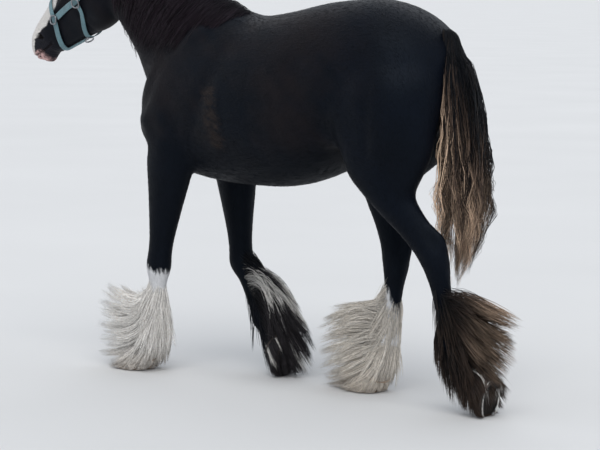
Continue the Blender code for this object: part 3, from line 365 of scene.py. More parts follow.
OFF_FORE_FAN = (
    (-0.335, 0.470, -0.305, 0.435, -0.285, 0.400, -0.270, 0.350, 0.025),
    (-0.330, 0.430, -0.290, 0.415, -0.260, 0.380, -0.235, 0.330, 0.030),
    (-0.325, 0.375, -0.250, 0.400, -0.165, 0.370, -0.085, 0.290, 0.045),
    (-0.320, 0.360, -0.235, 0.365, -0.130, 0.315, -0.045, 0.215, 0.060),
    (-0.310, 0.345, -0.220, 0.325, -0.090, 0.250, -0.010, 0.155, 0.075),
    (-0.290, 0.320, -0.200, 0.270, -0.075, 0.180, -0.002, 0.100, 0.085),
    (-0.270, 0.300, -0.190, 0.240, -0.080, 0.140, -0.012, 0.060, 0.085),
    (-0.250, 0.260, -0.190, 0.190, -0.100, 0.090, -0.045, 0.012, 0.080),
    (-0.240, 0.220, -0.200, 0.150, -0.150, 0.070, -0.120, 0.004, 0.080),
    (-0.250, 0.220, -0.240, 0.150, -0.210, 0.080, -0.170, 0.008, 0.080),
)
NEAR_HIND_FAN = (
    (0.775, 0.440, 0.840, 0.445, 0.930, 0.425, 1.050, 0.385, 0.055),
    (0.780, 0.410, 0.850, 0.400, 0.950, 0.370, 1.060, 0.340, 0.075),
    (0.785, 0.380, 0.850, 0.355, 0.940, 0.320, 1.050, 0.285, 0.090),
    (0.790, 0.350, 0.850, 0.320, 0.940, 0.275, 1.040, 0.235, 0.100),
    (0.790, 0.320, 0.850, 0.280, 0.920, 0.230, 1.000, 0.185, 0.100),
    (0.790, 0.290, 0.830, 0.240, 0.890, 0.180, 0.965, 0.125, 0.095),
    (0.820, 0.260, 0.850, 0.200, 0.890, 0.140, 0.940, 0.075, 0.090),
    (0.840, 0.220, 0.860, 0.150, 0.885, 0.090, 0.905, 0.015, 0.085),
    (0.820, 0.200, 0.830, 0.130, 0.850, 0.070, 0.865, 0.012, 0.080),
    (0.790, 0.220, 0.790, 0.150, 0.800, 0.090, 0.820, 0.030, 0.080),
    (0.760, 0.270, 0.745, 0.200, 0.745, 0.140, 0.765, 0.072, 0.080),
    (0.745, 0.340, 0.720, 0.280, 0.700, 0.230, 0.692, 0.162, 0.070),
    (0.740, 0.340, 0.718, 0.300, 0.700, 0.255, 0.692, 0.205, 0.055),
)

# Colours
BLACK = np.array((0.0019, 0.0028, 0.0056))
# Painted brown sheen on the upper body of the black coat
SHEEN_BROWN = np.array((0.0090, 0.0066, 0.0075))
# Painted brown reflection in the streak behind the near shoulder
STREAK_REFLECTION = np.array((0.026, 0.017, 0.013))
SLATE = np.array((0.0019, 0.0033, 0.0076))
FACE_WHITE = np.array((0.66, 0.63, 0.60))
MUZZLE_GREY = np.array((0.014, 0.013, 0.017))
PINK = np.array((0.60, 0.38, 0.36))
LEG_WHITE = np.array((0.64, 0.64, 0.65))
# Bare skin in the eye sockets; also painted shade in the nostril hollows and the line between the lips
BARE_SKIN_AND_SHADE = np.array((0.016, 0.013, 0.013))
EAR_LINING = np.array((0.050, 0.040, 0.036))
HAIR_BLACK = np.array((0.0032, 0.0034, 0.0052))
DARK_BROWN = np.array((0.030, 0.020, 0.016))
GREY_BROWN = np.array((0.040, 0.035, 0.038))
MID_BROWN = np.array((0.170, 0.115, 0.085))
TAN = np.array((0.58, 0.42, 0.30))
MANE_BROWN = np.array((0.016, 0.010, 0.014))
SILVER = np.array((0.66, 0.64, 0.61))
CREAM = np.array((0.88, 0.82, 0.74))
WHITE_HAIR = np.array((0.97, 0.94, 0.90))
STAINED = np.array((0.52, 0.43, 0.34))
PALE_HORN = np.array((0.42, 0.32, 0.24))
DARK_HORN = np.array((0.070, 0.055, 0.048))
EYE_WHITE = np.array((0.030, 0.020, 0.016))
IRIS = np.array((0.022, 0.010, 0.006))
PUPIL = np.array((0.002, 0.002, 0.003))
COOL = (0.72, 0.86, 1.0, 1)
# Shaded and lit copies of the webbing's blue, for painted shade in the weave
WEB_SHADED = (0.08, 0.17, 0.20)
WEB_LIT = (0.21, 0.40, 0.45)
METAL_DARK = (0.16, 0.16, 0.17)
METAL_LIGHT = (0.42, 0.42, 0.44)

# The photograph's view. Turns are in degrees and places in metres
# What is measured in the picture is in its pixels
VIEW_ROUND = 38  # from square on the near side towards the rear
VIEW_ROLL = 0.65
VIEW_AWAY = 8.2
VIEW_HEIGHT = 1.5
CAMERA_FOCUS = 2200
VIEW_WIDTH = 600
VIEW_BELOW = 240  # the picture's middle lies this far below the horizon
VIEW_ASIDE = -3  # and the animal this far to one side
SENSOR_WIDTH = 36
FAR_END = 3000

# Studio
FLOOR_REACH = 600
FLOOR_DARK = (0.60, 0.60, 0.60)
FLOOR_LIGHT = (0.66, 0.66, 0.66)
SKY = (0.88, 0.93, 1.0)
SKY_STRENGTH = 0.75
# Lamps: direction of the light, width in degrees, strength, colour
LAMPS = {
    "key": ((-0.45, 0.55, -1.0), 45, 1.5, (1.0, 0.98, 0.95)),
    "back": ((0.5, -0.9, -0.9), 60, 0.5, (0.93, 0.96, 1.0)),
}

DRAW = np.random.default_rng(5)


# Curves and shells

def through(rows, per_span):
    """Rows of numbers, with per_span steps between each two, on a smooth curve through them."""
    rows = np.array(rows, float)
    ends = np.vstack([2 * rows[0] - rows[1], rows, 2 * rows[-1] - rows[-2]])
    made = []
    for i in range(1, len(ends) - 2):
        a, b, c, d = ends[i - 1 : i + 3]
        for step in range(per_span):
            t = step / per_span
            made.append(
                0.5 * (2 * b + (c - a) * t + (2 * a - 5 * b + 4 * c - d) * t**2
                       + (3 * b - a - 3 * c + d) * t**3)
            )
    made.append(rows[-1])
    return np.array(made)


def looked_up(spot, rows):
    """Rows at places between the whole ones."""
    steps = np.arange(len(rows))
    return np.column_stack([np.interp(spot, steps, column) for column in rows.T])


def signed_power(values, power):
    return np.sign(values) * np.abs(values) ** power


def shell(rings):
    """A closed mesh through rings of points, with each end drawn together to a point."""
    rings = np.array(rings, float)
    count, around = rings.shape[:2]
    work = bmesh.new()
    rows = [[work.verts.new(p) for p in ring] for ring in rings]
    for a, b in zip(rows, rows[1:]):
        for i in range(around):
            j = (i + 1) % around
            work.faces.new((a[i], a[j], b[j], b[i]))
    for row, ring in ((rows[0], rings[0]), (rows[-1], rings[-1])):
        tip = work.verts.new(ring.mean(axis=0))
        for i in range(around):
            work.faces.new((row[i], row[(i + 1) % around], tip))
    bmesh.ops.recalc_face_normals(work, faces=work.faces)
    return work


def turn(count=RING_POINTS):
    return np.linspace(0, 2 * math.pi, count, endpoint=False)


def section(centre, up, side, above, below, half_width, full_above=2.0, full_below=2.0):
    """One ring round centre: above and below along up, half_width along side."""
    angle = turn()
    across, rise = np.cos(angle), np.sin(angle)
    full = np.where(rise > 0, 2 / full_above, 2 / full_below)
    height = np.where(rise > 0, above, below) * signed_power(rise, full)
    width = half_width * signed_power(across, full)
    return np.array(centre) + np.outer(height, up) + np.outer(width, side)


def capped(stations):
    """The stations with each end rounded off."""
    stations = [np.array(s, float) for s in stations]
    for _ in range(2):
        end, inner = stations[0], stations[1]
        line = (end[:3] - inner[:3]) / np.linalg.norm(end[:3] - inner[:3])
        reach = end[3:].mean()
        caps = [
            np.array((*(end[:3] + line * reach * out), *(end[3:] * math.sqrt(1 - out**2))))
            for out in (0.92, 0.6)
        ]
        stations = (caps + stations)[::-1]
    return stations


def limb(stations, per_span=3):
    """A tube through stations of x, y, z, front, back and half width, square to its own line."""
    rows = through(capped(stations), per_span)
    lines = np.gradient(rows[:, :3], axis=0)
    rings = []
    for row, line in zip(rows, lines):
        forward = np.cross((0, 1, 0), line)
        forward /= np.linalg.norm(forward)
        side = np.cross(line, forward)
        side /= np.linalg.norm(side)
        rings.append(section(row[:3], forward, side, row[3], row[4], row[5]))
    return shell(rings)


def ball(centre, radii, turned=(0, 0, 0)):
    """An ellipsoid, its turns given in degrees about x, y and z."""
    work = bmesh.new()
    bmesh.ops.create_uvsphere(work, u_segments=24, v_segments=14, radius=1)
    spin = Matrix.Rotation(math.radians(turned[2]), 4, "Z")
    spin @= Matrix.Rotation(math.radians(turned[1]), 4, "Y")
    spin @= Matrix.Rotation(math.radians(turned[0]), 4, "X")
    place = Matrix.Translation(centre) @ spin @ Matrix.Diagonal((*radii, 1))
    bmesh.ops.transform(work, matrix=place, verts=work.verts)
    return work


# Objects

def placed(name, data):
    """A new object in the scene."""
    made = bpy.data.objects.new(name, data)
    bpy.context.scene.collection.objects.link(made)
    return made


def settle(obj):
    """Makes the modifiers part of the mesh."""
    bpy.context.view_layer.update()
    graph = bpy.context.evaluated_depsgraph_get()
    mesh = bpy.data.meshes.new_from_object(obj.evaluated_get(graph))
    obj.modifiers.clear()
    old = obj.data
    obj.data = mesh
    bpy.data.meshes.remove(old)


def drop(obj):
    bpy.data.objects.remove(obj)


def remeshed(obj, voxel):
    modifier = obj.modifiers.new("Fuse", "REMESH")
    modifier.mode = "VOXEL"
    modifier.voxel_size = voxel
    settle(obj)


def points_of(mesh):
    found = np.empty(len(mesh.vertices) * 3)
    mesh.vertices.foreach_get("co", found)
    return found.reshape(-1, 3)


def move_points(mesh, points):
    mesh.vertices.foreach_set("co", points.ravel())
    mesh.update()


def relaxed(obj, passes, share):
    """Smooths the surface. share is one number, or one for each vertex."""
    mesh = obj.data
    ends = np.empty(len(mesh.edges) * 2, int)
    mesh.edges.foreach_get("vertices", ends)
    a, b = ends.reshape(-1, 2).T
    points = points_of(mesh)
    count = np.bincount(ends, minlength=len(points))[:, None]
    share = np.broadcast_to(share, len(points))[:, None]
    for _ in range(passes):
        total = np.zeros_like(points)
        for axis in range(3):
            total[:, axis] = np.bincount(a, points[b, axis], len(points))
            total[:, axis] += np.bincount(b, points[a, axis], len(points))
        points += share * (total / count - points)
    move_points(mesh, points)


def joined(name, works):
    """All the meshes as they are, in one object."""
    whole = bmesh.new()
    for work in works:
        mesh = bpy.data.meshes.new("piece")
        work.to_mesh(mesh)
        work.free()
        whole.from_mesh(mesh)
        bpy.data.meshes.remove(mesh)
    mesh = bpy.data.meshes.new(name)
    whole.to_mesh(mesh)
    whole.free()
    return placed(name, mesh)


def fused(name, works, voxel):
    """One closed skin round all the meshes."""
    made = joined(name, works)
    remeshed(made, voxel)
    return made


def loose_pieces(obj):
    """The mesh's separate closed pieces, as lists of face indices."""
    work = bmesh.new()
    work.from_mesh(obj.data)
    seen, found = set(), []
    for face in work.faces:
        if face in seen:
            continue
        stack, piece = [face], []
        seen.add(face)
        while stack:
            here = stack.pop()
            piece.append(here)
            for edge in here.edges:
                for other in edge.link_faces:
                    if other not in seen:
                        seen.add(other)
                        stack.append(other)
        found.append([f.index for f in piece])
    work.free()
    return found


def only(obj, faces):
    """Some of an object's faces, given by index."""
    work = bmesh.new()
    work.from_mesh(obj.data)
    work.faces.ensure_lookup_table()
    keep = set(faces)
    bmesh.ops.delete(work, geom=[f for f in work.faces if f.index not in keep], context="FACES")
    return work


def largest_only(obj):
    """Keeps the largest piece of a mesh."""
    pieces = loose_pieces(obj)
    if len(pieces) > 1:
        work = only(obj, max(pieces, key=len))
        work.to_mesh(obj.data)
        work.free()


# Head frame

def head_axes():
    along = Vector((
        -math.cos(HEAD_SLOPE) * math.cos(HEAD_TURN),
        -math.cos(HEAD_SLOPE) * math.sin(HEAD_TURN),
        -math.sin(HEAD_SLOPE),
    ))
    side = Vector((math.sin(HEAD_TURN), -math.cos(HEAD_TURN), 0))  # to the near side
    up = side.cross(along) * -1
    return along, side, up


def in_head(along, side, up):
    """A point given in the head's own frame."""
    a, s, u = head_axes()
    return POLL + a * along + s * side + u * up


# Shells of the body

def trunk():
    rings = []
    for x, top, wide, bottom, half, above, below in through(TRUNK, 4):
        rings.append(
            section((x, 0, wide), (0, 0, 1), (0, 1, 0), top - wide, wide - bottom, half, above, below)
        )
    return shell(rings)


def neck():
    rings = []
    for crest_x, crest_z, under_x, under_z, half, y in through(NECK, 4):
        crest, under = np.array((crest_x, y, crest_z)), np.array((under_x, y, under_z))
        reach = np.linalg.norm(crest - under)
        up = (crest - under) / reach
        centre = under + up * reach * NECK_BELOW
        rings.append(section(centre, up, (0, 1, 0), reach * NECK_ABOVE, reach * NECK_BELOW, half, 1.8, 2.1))
    return shell(rings)


def head_ring(row):
    along, top, bottom, near_top, middle, near_bottom, height = row
    corner_rise, corner_drop = 0.16 * (top - height), 0.18 * (height - bottom)
    half = (
        (0.0, top),
        (near_top, top - corner_rise),
        (middle, height),
        (near_bottom, bottom + corner_drop),
        (0.0, bottom),
    )
    loop = list(half) + [(-w, h) for w, h in half[3:0:-1]]
    ring = through(loop + loop[:1], 4)[:-1]
    return [in_head(along, side, up) for side, up in ring]


def head_core():
    return shell([head_ring(row) for row in through(HEAD, 4)])


def head_masses():
    """Cheeks, temples, brow rims, nostrils, lips and chin."""
    made = []
    slope = math.degrees(HEAD_SLOPE)
    yaw = math.degrees(HEAD_TURN)
    for side in (-1, 1):
        lumps = (
            ((0.155, 0.048, -0.078), (0.092, 0.032, 0.086)),  # cheek muscle
            ((0.186, 0.080, 0.054), (0.046, 0.026, 0.026)),  # rim over the eye
            ((0.090, 0.048, 0.062), (0.058, 0.030, 0.040)),  # temple
            ((0.290, 0.058, 0.002), (0.080, 0.016, 0.017)),  # crest of the cheekbone
            ((0.556, 0.036, -0.010), (0.034, 0.022, 0.028)),  # nostril
        )
        for (along, across, up), radii in lumps:
            made.append(ball(in_head(along, side * across, up), radii, (0, slope, yaw)))
    made.append(ball(in_head(0.588, 0, -0.034), (0.034, 0.042, 0.030), (0, slope, yaw)))
    made.append(ball(in_head(0.566, 0, -0.086), (0.034, 0.034, 0.026), (0, slope, yaw)))
    return made


def shoulder_masses():
    made = []
    for side, joints in FORE_JOINTS.items():
        point, elbow = np.array(joints[0]), np.array(joints[1])
        blade = np.array((-0.370, side * 0.128, 1.300))
        made.append(limb((
            (*blade, 0.060, 0.080, 0.040),
            (*(0.6 * blade + 0.4 * point), 0.080, 0.110, 0.062),
            (*(0.25 * blade + 0.75 * point), 0.078, 0.110, 0.075),
            (*point, 0.070, 0.085, 0.080),
        )))
        for share in (0.0, 0.35, 0.7, 1.0):
            centre = (1 - share) * point + share * elbow
            made.append(ball(centre, (0.086, 0.076, 0.080)))
        made.append(ball((elbow[0] + 0.010, side * 0.185, 0.985), (0.090, 0.058, 0.140), (0, -22, 0)))
        made.append(ball((elbow[0] + 0.052, side * 0.168, 0.868), (0.040, 0.036, 0.055), (0, -10, 0)))
        made.append(ball((-0.600, side * 0.085, 0.985), (0.074, 0.095, 0.115), (0, 14, 0)))
    return made


def thigh_masses():
    made = []
    for side, joints in HIND_JOINTS.items():
        hip, stifle, hock = (np.array(j) for j in joints[:3])
        swing = stifle[0] - 0.36
        point_of_hip = np.array((0.275, side * 0.205, 1.255))
        buttock = np.array((0.622, side * 0.112, 1.150))
        calf = stifle + 0.30 * (hock - stifle) + np.array((0.035, 0, 0.020))
        made.append(limb((
            (*point_of_hip, 0.060, 0.070, 0.046),
            (*(0.6 * point_of_hip + 0.4 * stifle + (0.03, 0, 0)), 0.100, 0.120, 0.078),
            (*(0.25 * point_of_hip + 0.75 * stifle + (0.02, 0, 0)), 0.095, 0.130, 0.085),
            (*stifle, 0.085, 0.110, 0.080),
        )))
        made.append(limb((
            (*(hip + (0.00, 0, 0.060)), 0.150, 0.120, 0.105),
            (*(hip + (0.02, side * 0.020, -0.040)), 0.185, 0.180, 0.132),
            (*(0.5 * hip + 0.5 * stifle + (0.06, side * 0.012, 0)), 0.170, 0.170, 0.120),
            (*(stifle + (0.06, 0, -0.02)), 0.110, 0.110, 0.085),
        )))
        made.append(limb((
            (*(buttock + (-0.05, 0, 0.060)), 0.080, 0.070, 0.080),
            (*buttock, 0.110, 0.085, 0.100),
            (*(buttock + (-0.015 + 0.10 * swing, side * 0.028, -0.160)), 0.110, 0.082, 0.100),
            (*(0.45 * buttock + 0.55 * calf + (0.03, side * 0.014, -0.030)), 0.095, 0.080, 0.082),
            (*calf, 0.075, 0.075, 0.062),
        )))
    return made


def hock_masses():
    """The point of each hock, and the tendon that runs down to it."""
    made = []
    for joints in HIND_JOINTS.values():
        stifle, hock, fetlock = (np.array(j) for j in joints[1:4])
        shin = (hock - stifle) / np.linalg.norm(hock - stifle)
        back = np.array((-shin[2], 0, shin[0]))
        point = hock + back * 0.066 - shin * 0.030
        made.append(limb((
            (*(stifle + shin * 0.20 + back * 0.050), 0.026, 0.024, 0.026),
            (*(hock - shin * 0.120 + back * 0.058), 0.016, 0.014, 0.014),
            (*point, 0.022, 0.018, 0.021),
            (*(hock + (fetlock - hock) * 0.16 + back * 0.026), 0.022, 0.020, 0.022),
        ), per_span=4))
    return made


def leg(joints, sections):
    joints = [np.array(j) for j in joints]
    stations = []
    for start, share, front, back, half in sections:
        if start + 1 < len(joints):
            centre = joints[start] + share * (joints[start + 1] - joints[start])
        stations.append((*centre, front, back, half))
    return limb(stations)


def flank_folds():
    """The web of skin from each stifle to the belly."""
    made = []
    for side, joints in HIND_JOINTS.items():
        stifle = np.array(joints[1])
        made.append(limb((
            (0.080, side * 0.150, 0.900, 0.050, 0.050, 0.080),
            (0.210, side * 0.165, 0.955, 0.045, 0.045, 0.060),
            (*(stifle + (0.01, -side * 0.01, 0.100)), 0.045, 0.060, 0.045),
        )))
    return made


def body_shells():
    shells = [trunk(), neck()]
    shells += shoulder_masses() + thigh_masses() + flank_folds() + hock_masses()
    shells += [leg(j, FORE_SECTIONS) for j in FORE_JOINTS.values()]
    shells += [leg(j, HIND_SECTIONS) for j in HIND_JOINTS.values()]
    return shells


def head_shells():
    return [head_core()] + head_masses()


def smoothing_of(points):
    """How much each place is smoothed: most on the trunk, least below the knees and on the head."""
    height = np.clip((points[:, 2] - 0.45) / 0.40, 0, 1)
    along = (points - np.array(POLL)) @ np.array(head_axes()[0])
    forward = np.clip((along + 0.05) / 0.12, 0, 1)
    return 0.12 + 0.48 * height * (1 - forward)


# Hooves

def hoof_place(joints, tip):
    """Matrix from a hoof's own frame (x forward, sole at z = 0) to its place at the end of a leg."""
    lift = hoof_coronet()
    turned = Matrix.Rotation(math.radians(tip), 4, "Y")
    flip = Matrix.Rotation(math.pi, 4, "Z")
    lowest = min((turned @ Vector((x, 0, 0))).z for x in (-HOOF_LENGTH / 2, HOOF_LENGTH / 2))
    at = flip @ turned @ lift
    x, y = joints[-1][0], joints[-1][1]
    sunk = TOE_FLAT if tip else 0.0
    return Matrix.Translation((x - at.x, y - at.y, -lowest - sunk)) @ flip @ turned


def hoof_coronet():
    """Middle of the top of the hoof, in its own frame."""
    slant = 1 / math.tan(TOE_ANGLE)
    toe = HOOF_LENGTH / 2 - TOE_HEIGHT * slant
    heel = -HOOF_LENGTH / 2 - HEEL_HEIGHT * slant
    return Vector(((toe + heel) / 2, 0, (TOE_HEIGHT + HEEL_HEIGHT) / 2))


def coronet_plane(place):
    """A point in the plane between leg and hoof, and the plane's normal up the leg."""
    slant = 1 / math.tan(TOE_ANGLE)
    along = Vector((HOOF_LENGTH - (TOE_HEIGHT - HEEL_HEIGHT) * slant, 0, TOE_HEIGHT - HEEL_HEIGHT))
    normal = along.cross(Vector((0, 1, 0))).normalized()
    if normal.z < 0:
        normal.negate()
    return place @ hoof_coronet(), (place.to_3x3() @ normal).normalized()


# Headcollar

def on_head(tree, along, degrees):
    """Where the flesh lies, seen from the middle of the head: a point and the outward direction."""
    angle = math.radians(degrees)
    middle = in_head(along, 0, HEAD_MIDDLE)
    out = (in_head(along, math.sin(angle), HEAD_MIDDLE + math.cos(angle)) - middle).normalized()
    hit = tree.ray_cast(middle + out * 0.30, -out)[0]
    return hit, out


def tightened(points, middles, closed):
    """Pulls a line of points taut over what it lies on, as a strap would lie."""
    points = np.array(points, float)
    for _ in range(TAUT_PASSES):
        mean = (np.roll(points, 1, axis=0) + np.roll(points, -1, axis=0)) / 2
        further = np.linalg.norm(mean - middles, axis=1) > np.linalg.norm(points - middles, axis=1)
        if not closed:
            further[[0, -1]] = False
        points[further] = mean[further]
    return points


def mirrored(half_path, steps):
    """A path given for the near side, followed by the same on the off side."""
    rows = [tuple(row) for row in through(half_path, steps)]
    return rows + [(along, -degrees % 360) for along, degrees in rows[-2::-1]]


# Meshes from arrays

def mesh_object(name, points, triangles, material, colours=None, lie=None, smooth=True):
    """An object in the frame's own place, from points of the construction frame."""
    triangles = np.asarray(triangles, np.int32)
    mesh = bpy.data.meshes.new(name)
    mesh.vertices.add(len(points))
    mesh.vertices.foreach_set("co", (points + np.array(SHIFT)).astype(np.float32).ravel())
    mesh.loops.add(triangles.size)
    mesh.loops.foreach_set("vertex_index", triangles.ravel())
    mesh.polygons.add(len(triangles))
    mesh.polygons.foreach_set("loop_start", np.arange(0, triangles.size, 3, dtype=np.int32))
    mesh.polygons.foreach_set("use_smooth", np.full(len(triangles), smooth))
    mesh.update(calc_edges=True)
    for label, values in (("markings", colours), ("lie", lie)):
        if values is not None:
            layer = mesh.color_attributes.new(label, "FLOAT_COLOR", "POINT")
            full = np.column_stack([values, np.ones(len(points))])
            layer.data.foreach_set("color", full.astype(np.float32).ravel())
    mesh.materials.append(material)
    made = placed(name, mesh)
    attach(made, "root")
    return made


def arrays_of(mesh):
    """Points and triangles of a mesh."""
    mesh.calc_loop_triangles()
    triangles = np.empty(len(mesh.loop_triangles) * 3, np.int32)
    mesh.loop_triangles.foreach_get("vertices", triangles)
    return points_of(mesh), triangles.reshape(-1, 3)


def normals_of(points, triangles):
    """Point normals, from the triangles round each point."""
    a, b, c = (points[triangles[:, k]] for k in range(3))
    flat = np.cross(b - a, c - a)
    total = np.zeros_like(points)
    for corner in range(3):
        for axis in range(3):
            total[:, axis] += np.bincount(triangles[:, corner], flat[:, axis], len(points))
    return unit(total)


def unit(vectors):
    length = np.linalg.norm(vectors, axis=-1, keepdims=True)
    return vectors / np.maximum(length, 1e-12)


def moved(points, matrix):
    matrix = np.array(matrix)
    return points @ matrix[:3, :3].T + matrix[:3, 3]


def tree_of(points, triangles):
    return BVHTree.FromPolygons([Vector(p) for p in points], [list(map(int, t)) for t in triangles])


def step(low, high, values):
    """0 at low, 1 at high, smooth between and even beyond. low may be the larger."""
    t = np.clip((values - low) / (high - low), 0, 1)
    return t * t * (3 - 2 * t)


def bell(values, middle, width):
    """1 at the middle, and nearly 0 from twice the width away."""
    return np.exp(-(((values - middle) / width) ** 2))


def ripples(points, size, seed):
    """Smooth noise, nearly all of it between -1 and 1. size is how long its waves are."""
    draw = np.random.default_rng(seed)
    total = np.zeros(len(points))
    for _ in range(6):
        wave = unit(draw.normal(size=3)) * 2 * math.pi / size * draw.uniform(0.6, 1.6)
        total += np.sin(points @ wave + draw.uniform(0, 2 * math.pi))
    return total / 3


def bezier(a, b, c, d, count):
    """Points of many curves at once."""
    t = np.linspace(0, 1, count)[None, :, None]
    a, b, c, d = (p[:, None] for p in (a, b, c, d))
    return (1 - t) ** 3 * a + 3 * t * (1 - t) ** 2 * b + 3 * t**2 * (1 - t) * c + t**3 * d


# Where things lie on the head and legs

def head_frame(points):
    """Points in the head's own frame: along, near side, up."""
    return (points - np.array(POLL)) @ np.array(head_axes()).T


def head_share(points):
    along = head_frame(points)[:, 0]
    return step(-0.03, 0.07, along) * (points[:, 0] < -0.75)


def line_at(joints, height):
    """Where a leg's middle line passes at the given heights."""
    rows = np.array(joints[1:])[::-1]
    x = np.interp(height, rows[:, 2], rows[:, 0])
    y = np.interp(height, rows[:, 2], rows[:, 1])
    return np.column_stack([x, y, height])


def leg_masks(points):
    """For each leg, which points belong to it."""
    height = points[:, 2]
    apart = np.array([np.linalg.norm((points - line_at(j, height))[:, :2], axis=1) for j in LEGS.values()])
    nearest = np.argmin(apart, axis=0)
    low = height < LEG_TOP
    return {name: low & (nearest == k) & (apart[k] < LEG_REACH) for k, name in enumerate(LEGS)}


# Skin

def subdivided(obj, chosen):
    """Parts the faces whose points are all chosen."""
    work = bmesh.new()
    work.from_mesh(obj.data)
    work.verts.ensure_lookup_table()
    edges = [e for e in work.edges if chosen[e.verts[0].index] and chosen[e.verts[1].index]]
    bmesh.ops.subdivide_edges(work, edges=edges, cuts=1, use_grid_fill=True)
    bmesh.ops.triangulate(work, faces=[f for f in work.faces if len(f.verts) > 4])
    work.to_mesh(obj.data)
    work.free()


def fine_places(points):
    """The eyes' surroundings, nostrils and mouth."""
    head = head_frame(points)
    head[:, 1] = np.abs(head[:, 1])
    eye = np.linalg.norm(head - np.array(EYE_AT), axis=1) < 0.045
    muzzle = (head[:, 0] > 0.455) & (head[:, 2] < 0.03)
    return (eye | muzzle) & (points[:, 0] < -0.75)


def coarsened(obj, keep, triangles):
    """Thins the mesh to about that many triangles where keep is 0."""
    group = obj.vertex_groups.new(name="loose")
    loose = np.flatnonzero(keep < 0.5)
    group.add([int(i) for i in loose], 1.0, "REPLACE")
    points, faces = arrays_of(obj.data)
    held = (keep[faces] >= 0.5).any(axis=1).sum()
    modifier = obj.modifiers.new("Thin", "DECIMATE")
    modifier.vertex_group = "loose"
    modifier.ratio = (held + triangles) / len(faces)
    settle(obj)


def skin_form():
    """The animal without its coat: points and triangles."""
    made = fused("skin_form", body_shells() + head_shells(), SKIN_VOXEL)
    largest_only(made)
    relaxed(made, SKIN_PASSES, smoothing_of(points_of(made.data)))
    subdivided(made, head_share(points_of(made.data)) > 0.3)
    relaxed(made, 3, 0.5 * head_share(points_of(made.data)))
    coarsened(made, (head_share(points_of(made.data)) > 0.2).astype(float), BODY_TRIANGLES)
    subdivided(made, fine_places(points_of(made.data)))
    relaxed(made, 4, 0.5 * fine_places(points_of(made.data)))
    points, triangles = arrays_of(made.data)
    drop(made)
    return points, triangles


def eye_axes():
    """Outward, towards the inner corner, and up, in the head's frame of the near side."""
    out = unit(np.array((0.20, 0.96, 0.16)))
    corner = np.array((1.0, 0, -0.34))
    corner = unit(corner - out * (corner @ out))
    return out, corner, np.cross(corner, out)


def eyelids(head):
    """Draws the skin round each eyeball, with an almond opening."""
    out, corner, up = eye_axes()
    away = head - np.array(EYE_AT)
    far = np.linalg.norm(away, axis=1)
    look = unit(away)
    a, b, front = look @ corner, look @ up, look @ out
    reach = 1 - (np.abs(a) / LID_HALF_LENGTH) ** 2
    top = LID_TOP * reach
    opening = (b < top + 0.02) & (b > -LID_BOTTOM * reach) & (reach > 0) & (front > 0)
    near = (front > -0.1) & (far < LID_REACH)
    lid = EYE_RADIUS + LID_THICKNESS + LID_EDGE * bell(b, top, 0.12)
    raised = lid + LID_BLEND * np.log1p(np.exp((far - lid) / LID_BLEND))
    raised -= LID_CREASE * bell(b, top + 0.22, 0.06) * step(0.0, 0.3, b) * (front > 0.1)
    target = np.where(opening & (far < EYE_RADIUS + 0.010), EYE_RADIUS * 0.80, raised)
    change = np.where(near, target - far, 0.0)
    share = np.maximum(step(LID_REACH, 0.034, far), far < lid)
    head += look * (change * np.where(opening, 1.0, share))[:, None]
    return opening & near


def nostrils(head, out):
    """A comma-shaped hollow on each side, with a raised rim."""
    along, up = head[:, 0] - NOSTRIL[0], head[:, 2] - NOSTRIL[2]
    u = along * math.cos(NOSTRIL_TURN) - up * math.sin(NOSTRIL_TURN)
    v = along * math.sin(NOSTRIL_TURN) + up * math.cos(NOSTRIL_TURN)
    oval = np.hypot(u / NOSTRIL_LENGTH, (v + NOSTRIL_CURVE * u**2) / NOSTRIL_WIDTH)
    side = step(0.020, 0.035, head[:, 1])
    hollow = NOSTRIL_DEPTH * step(1.15, 0.45, oval) * side
    rim = NOSTRIL_RIM * bell(oval, 1.45, 0.35) * side
    head += out * (rim - hollow)[:, None]
    return step(1.1, 0.7, oval) * side


def mouth(head, out):
    """The line between the lips, the corner of the mouth, and the groove over the chin."""
    along, _, up = head.T
    start = MOUTH_LINE[0][0]
    fade = step(start - 0.012, start + 0.012, along)
    gap = up - np.interp(along, *MOUTH_LINE)
    slit = bell(gap, 0, 0.004) * fade
    total = 0.0022 * bell(np.abs(gap), 0.010, 0.006) * fade
    total -= 0.0062 * bell(gap, 0, 0.0035) * fade
    total -= 0.0025 * bell(along, start, 0.010) * bell(gap, 0, 0.016)
    total -= 0.0050 * bell(along, 0.517, 0.012) * step(-0.085, -0.105, up)
    creases = 0.0005 * np.sin(along * 520 + 3 * np.sin(up * 90))
    creases *= step(0.47, 0.50, along) * step(0.0, 0.025, np.abs(gap)) * step(0.0, -0.03, up)
    head += out * (total + creases)[:, None]
    return slit


def bony_face(head, out):
    """The cheekbone's crest, the hollow under it, the cheek's front edge, and the hollow over the eye."""
    along, side, up = head.T
    crest = np.interp(along, *CREST_LINE)
    ahead = step(0.42, 0.34, along)
    total = 0.0040 * bell(up, crest, 0.010) * step(0.20, 0.24, along) * ahead
    total -= 0.0035 * bell(up, crest - 0.030, 0.016) * step(0.22, 0.27, along) * ahead
    total -= 0.0035 * bell(along, 0.252, 0.012) * step(-0.02, -0.07, up)
    total -= 0.0050 * bell(along, 0.118, 0.020) * bell(up, 0.070, 0.018)
    head += out * (total * step(0.02, 0.05, side))[:, None]


def sculpted(points, triangles):
    """Adds the face's detail. Gives the points, and masks of the eye sockets, nostrils and mouth."""
    normals = normals_of(points, triangles)
    axes = np.array(head_axes())
    head = head_frame(points)
    out = normals @ axes.T
    sign = np.where(head[:, 1] < 0, -1.0, 1.0)
    head[:, 1] *= sign
    out[:, 1] *= sign
    chosen = np.flatnonzero(head_share(points) > 0)
    part, way = head[chosen], out[chosen]
    bony_face(part, way)
    hollow = nostrils(part, way)
    slit = mouth(part, way)
    socket = eyelids(part)
    part[:, 1] *= sign[chosen]
    points = points.copy()
    points[chosen] = np.array(POLL) + part @ axes
    masks = np.zeros((len(points), 3))
    masks[chosen] = np.column_stack([socket, hollow, slit])
    return points, masks


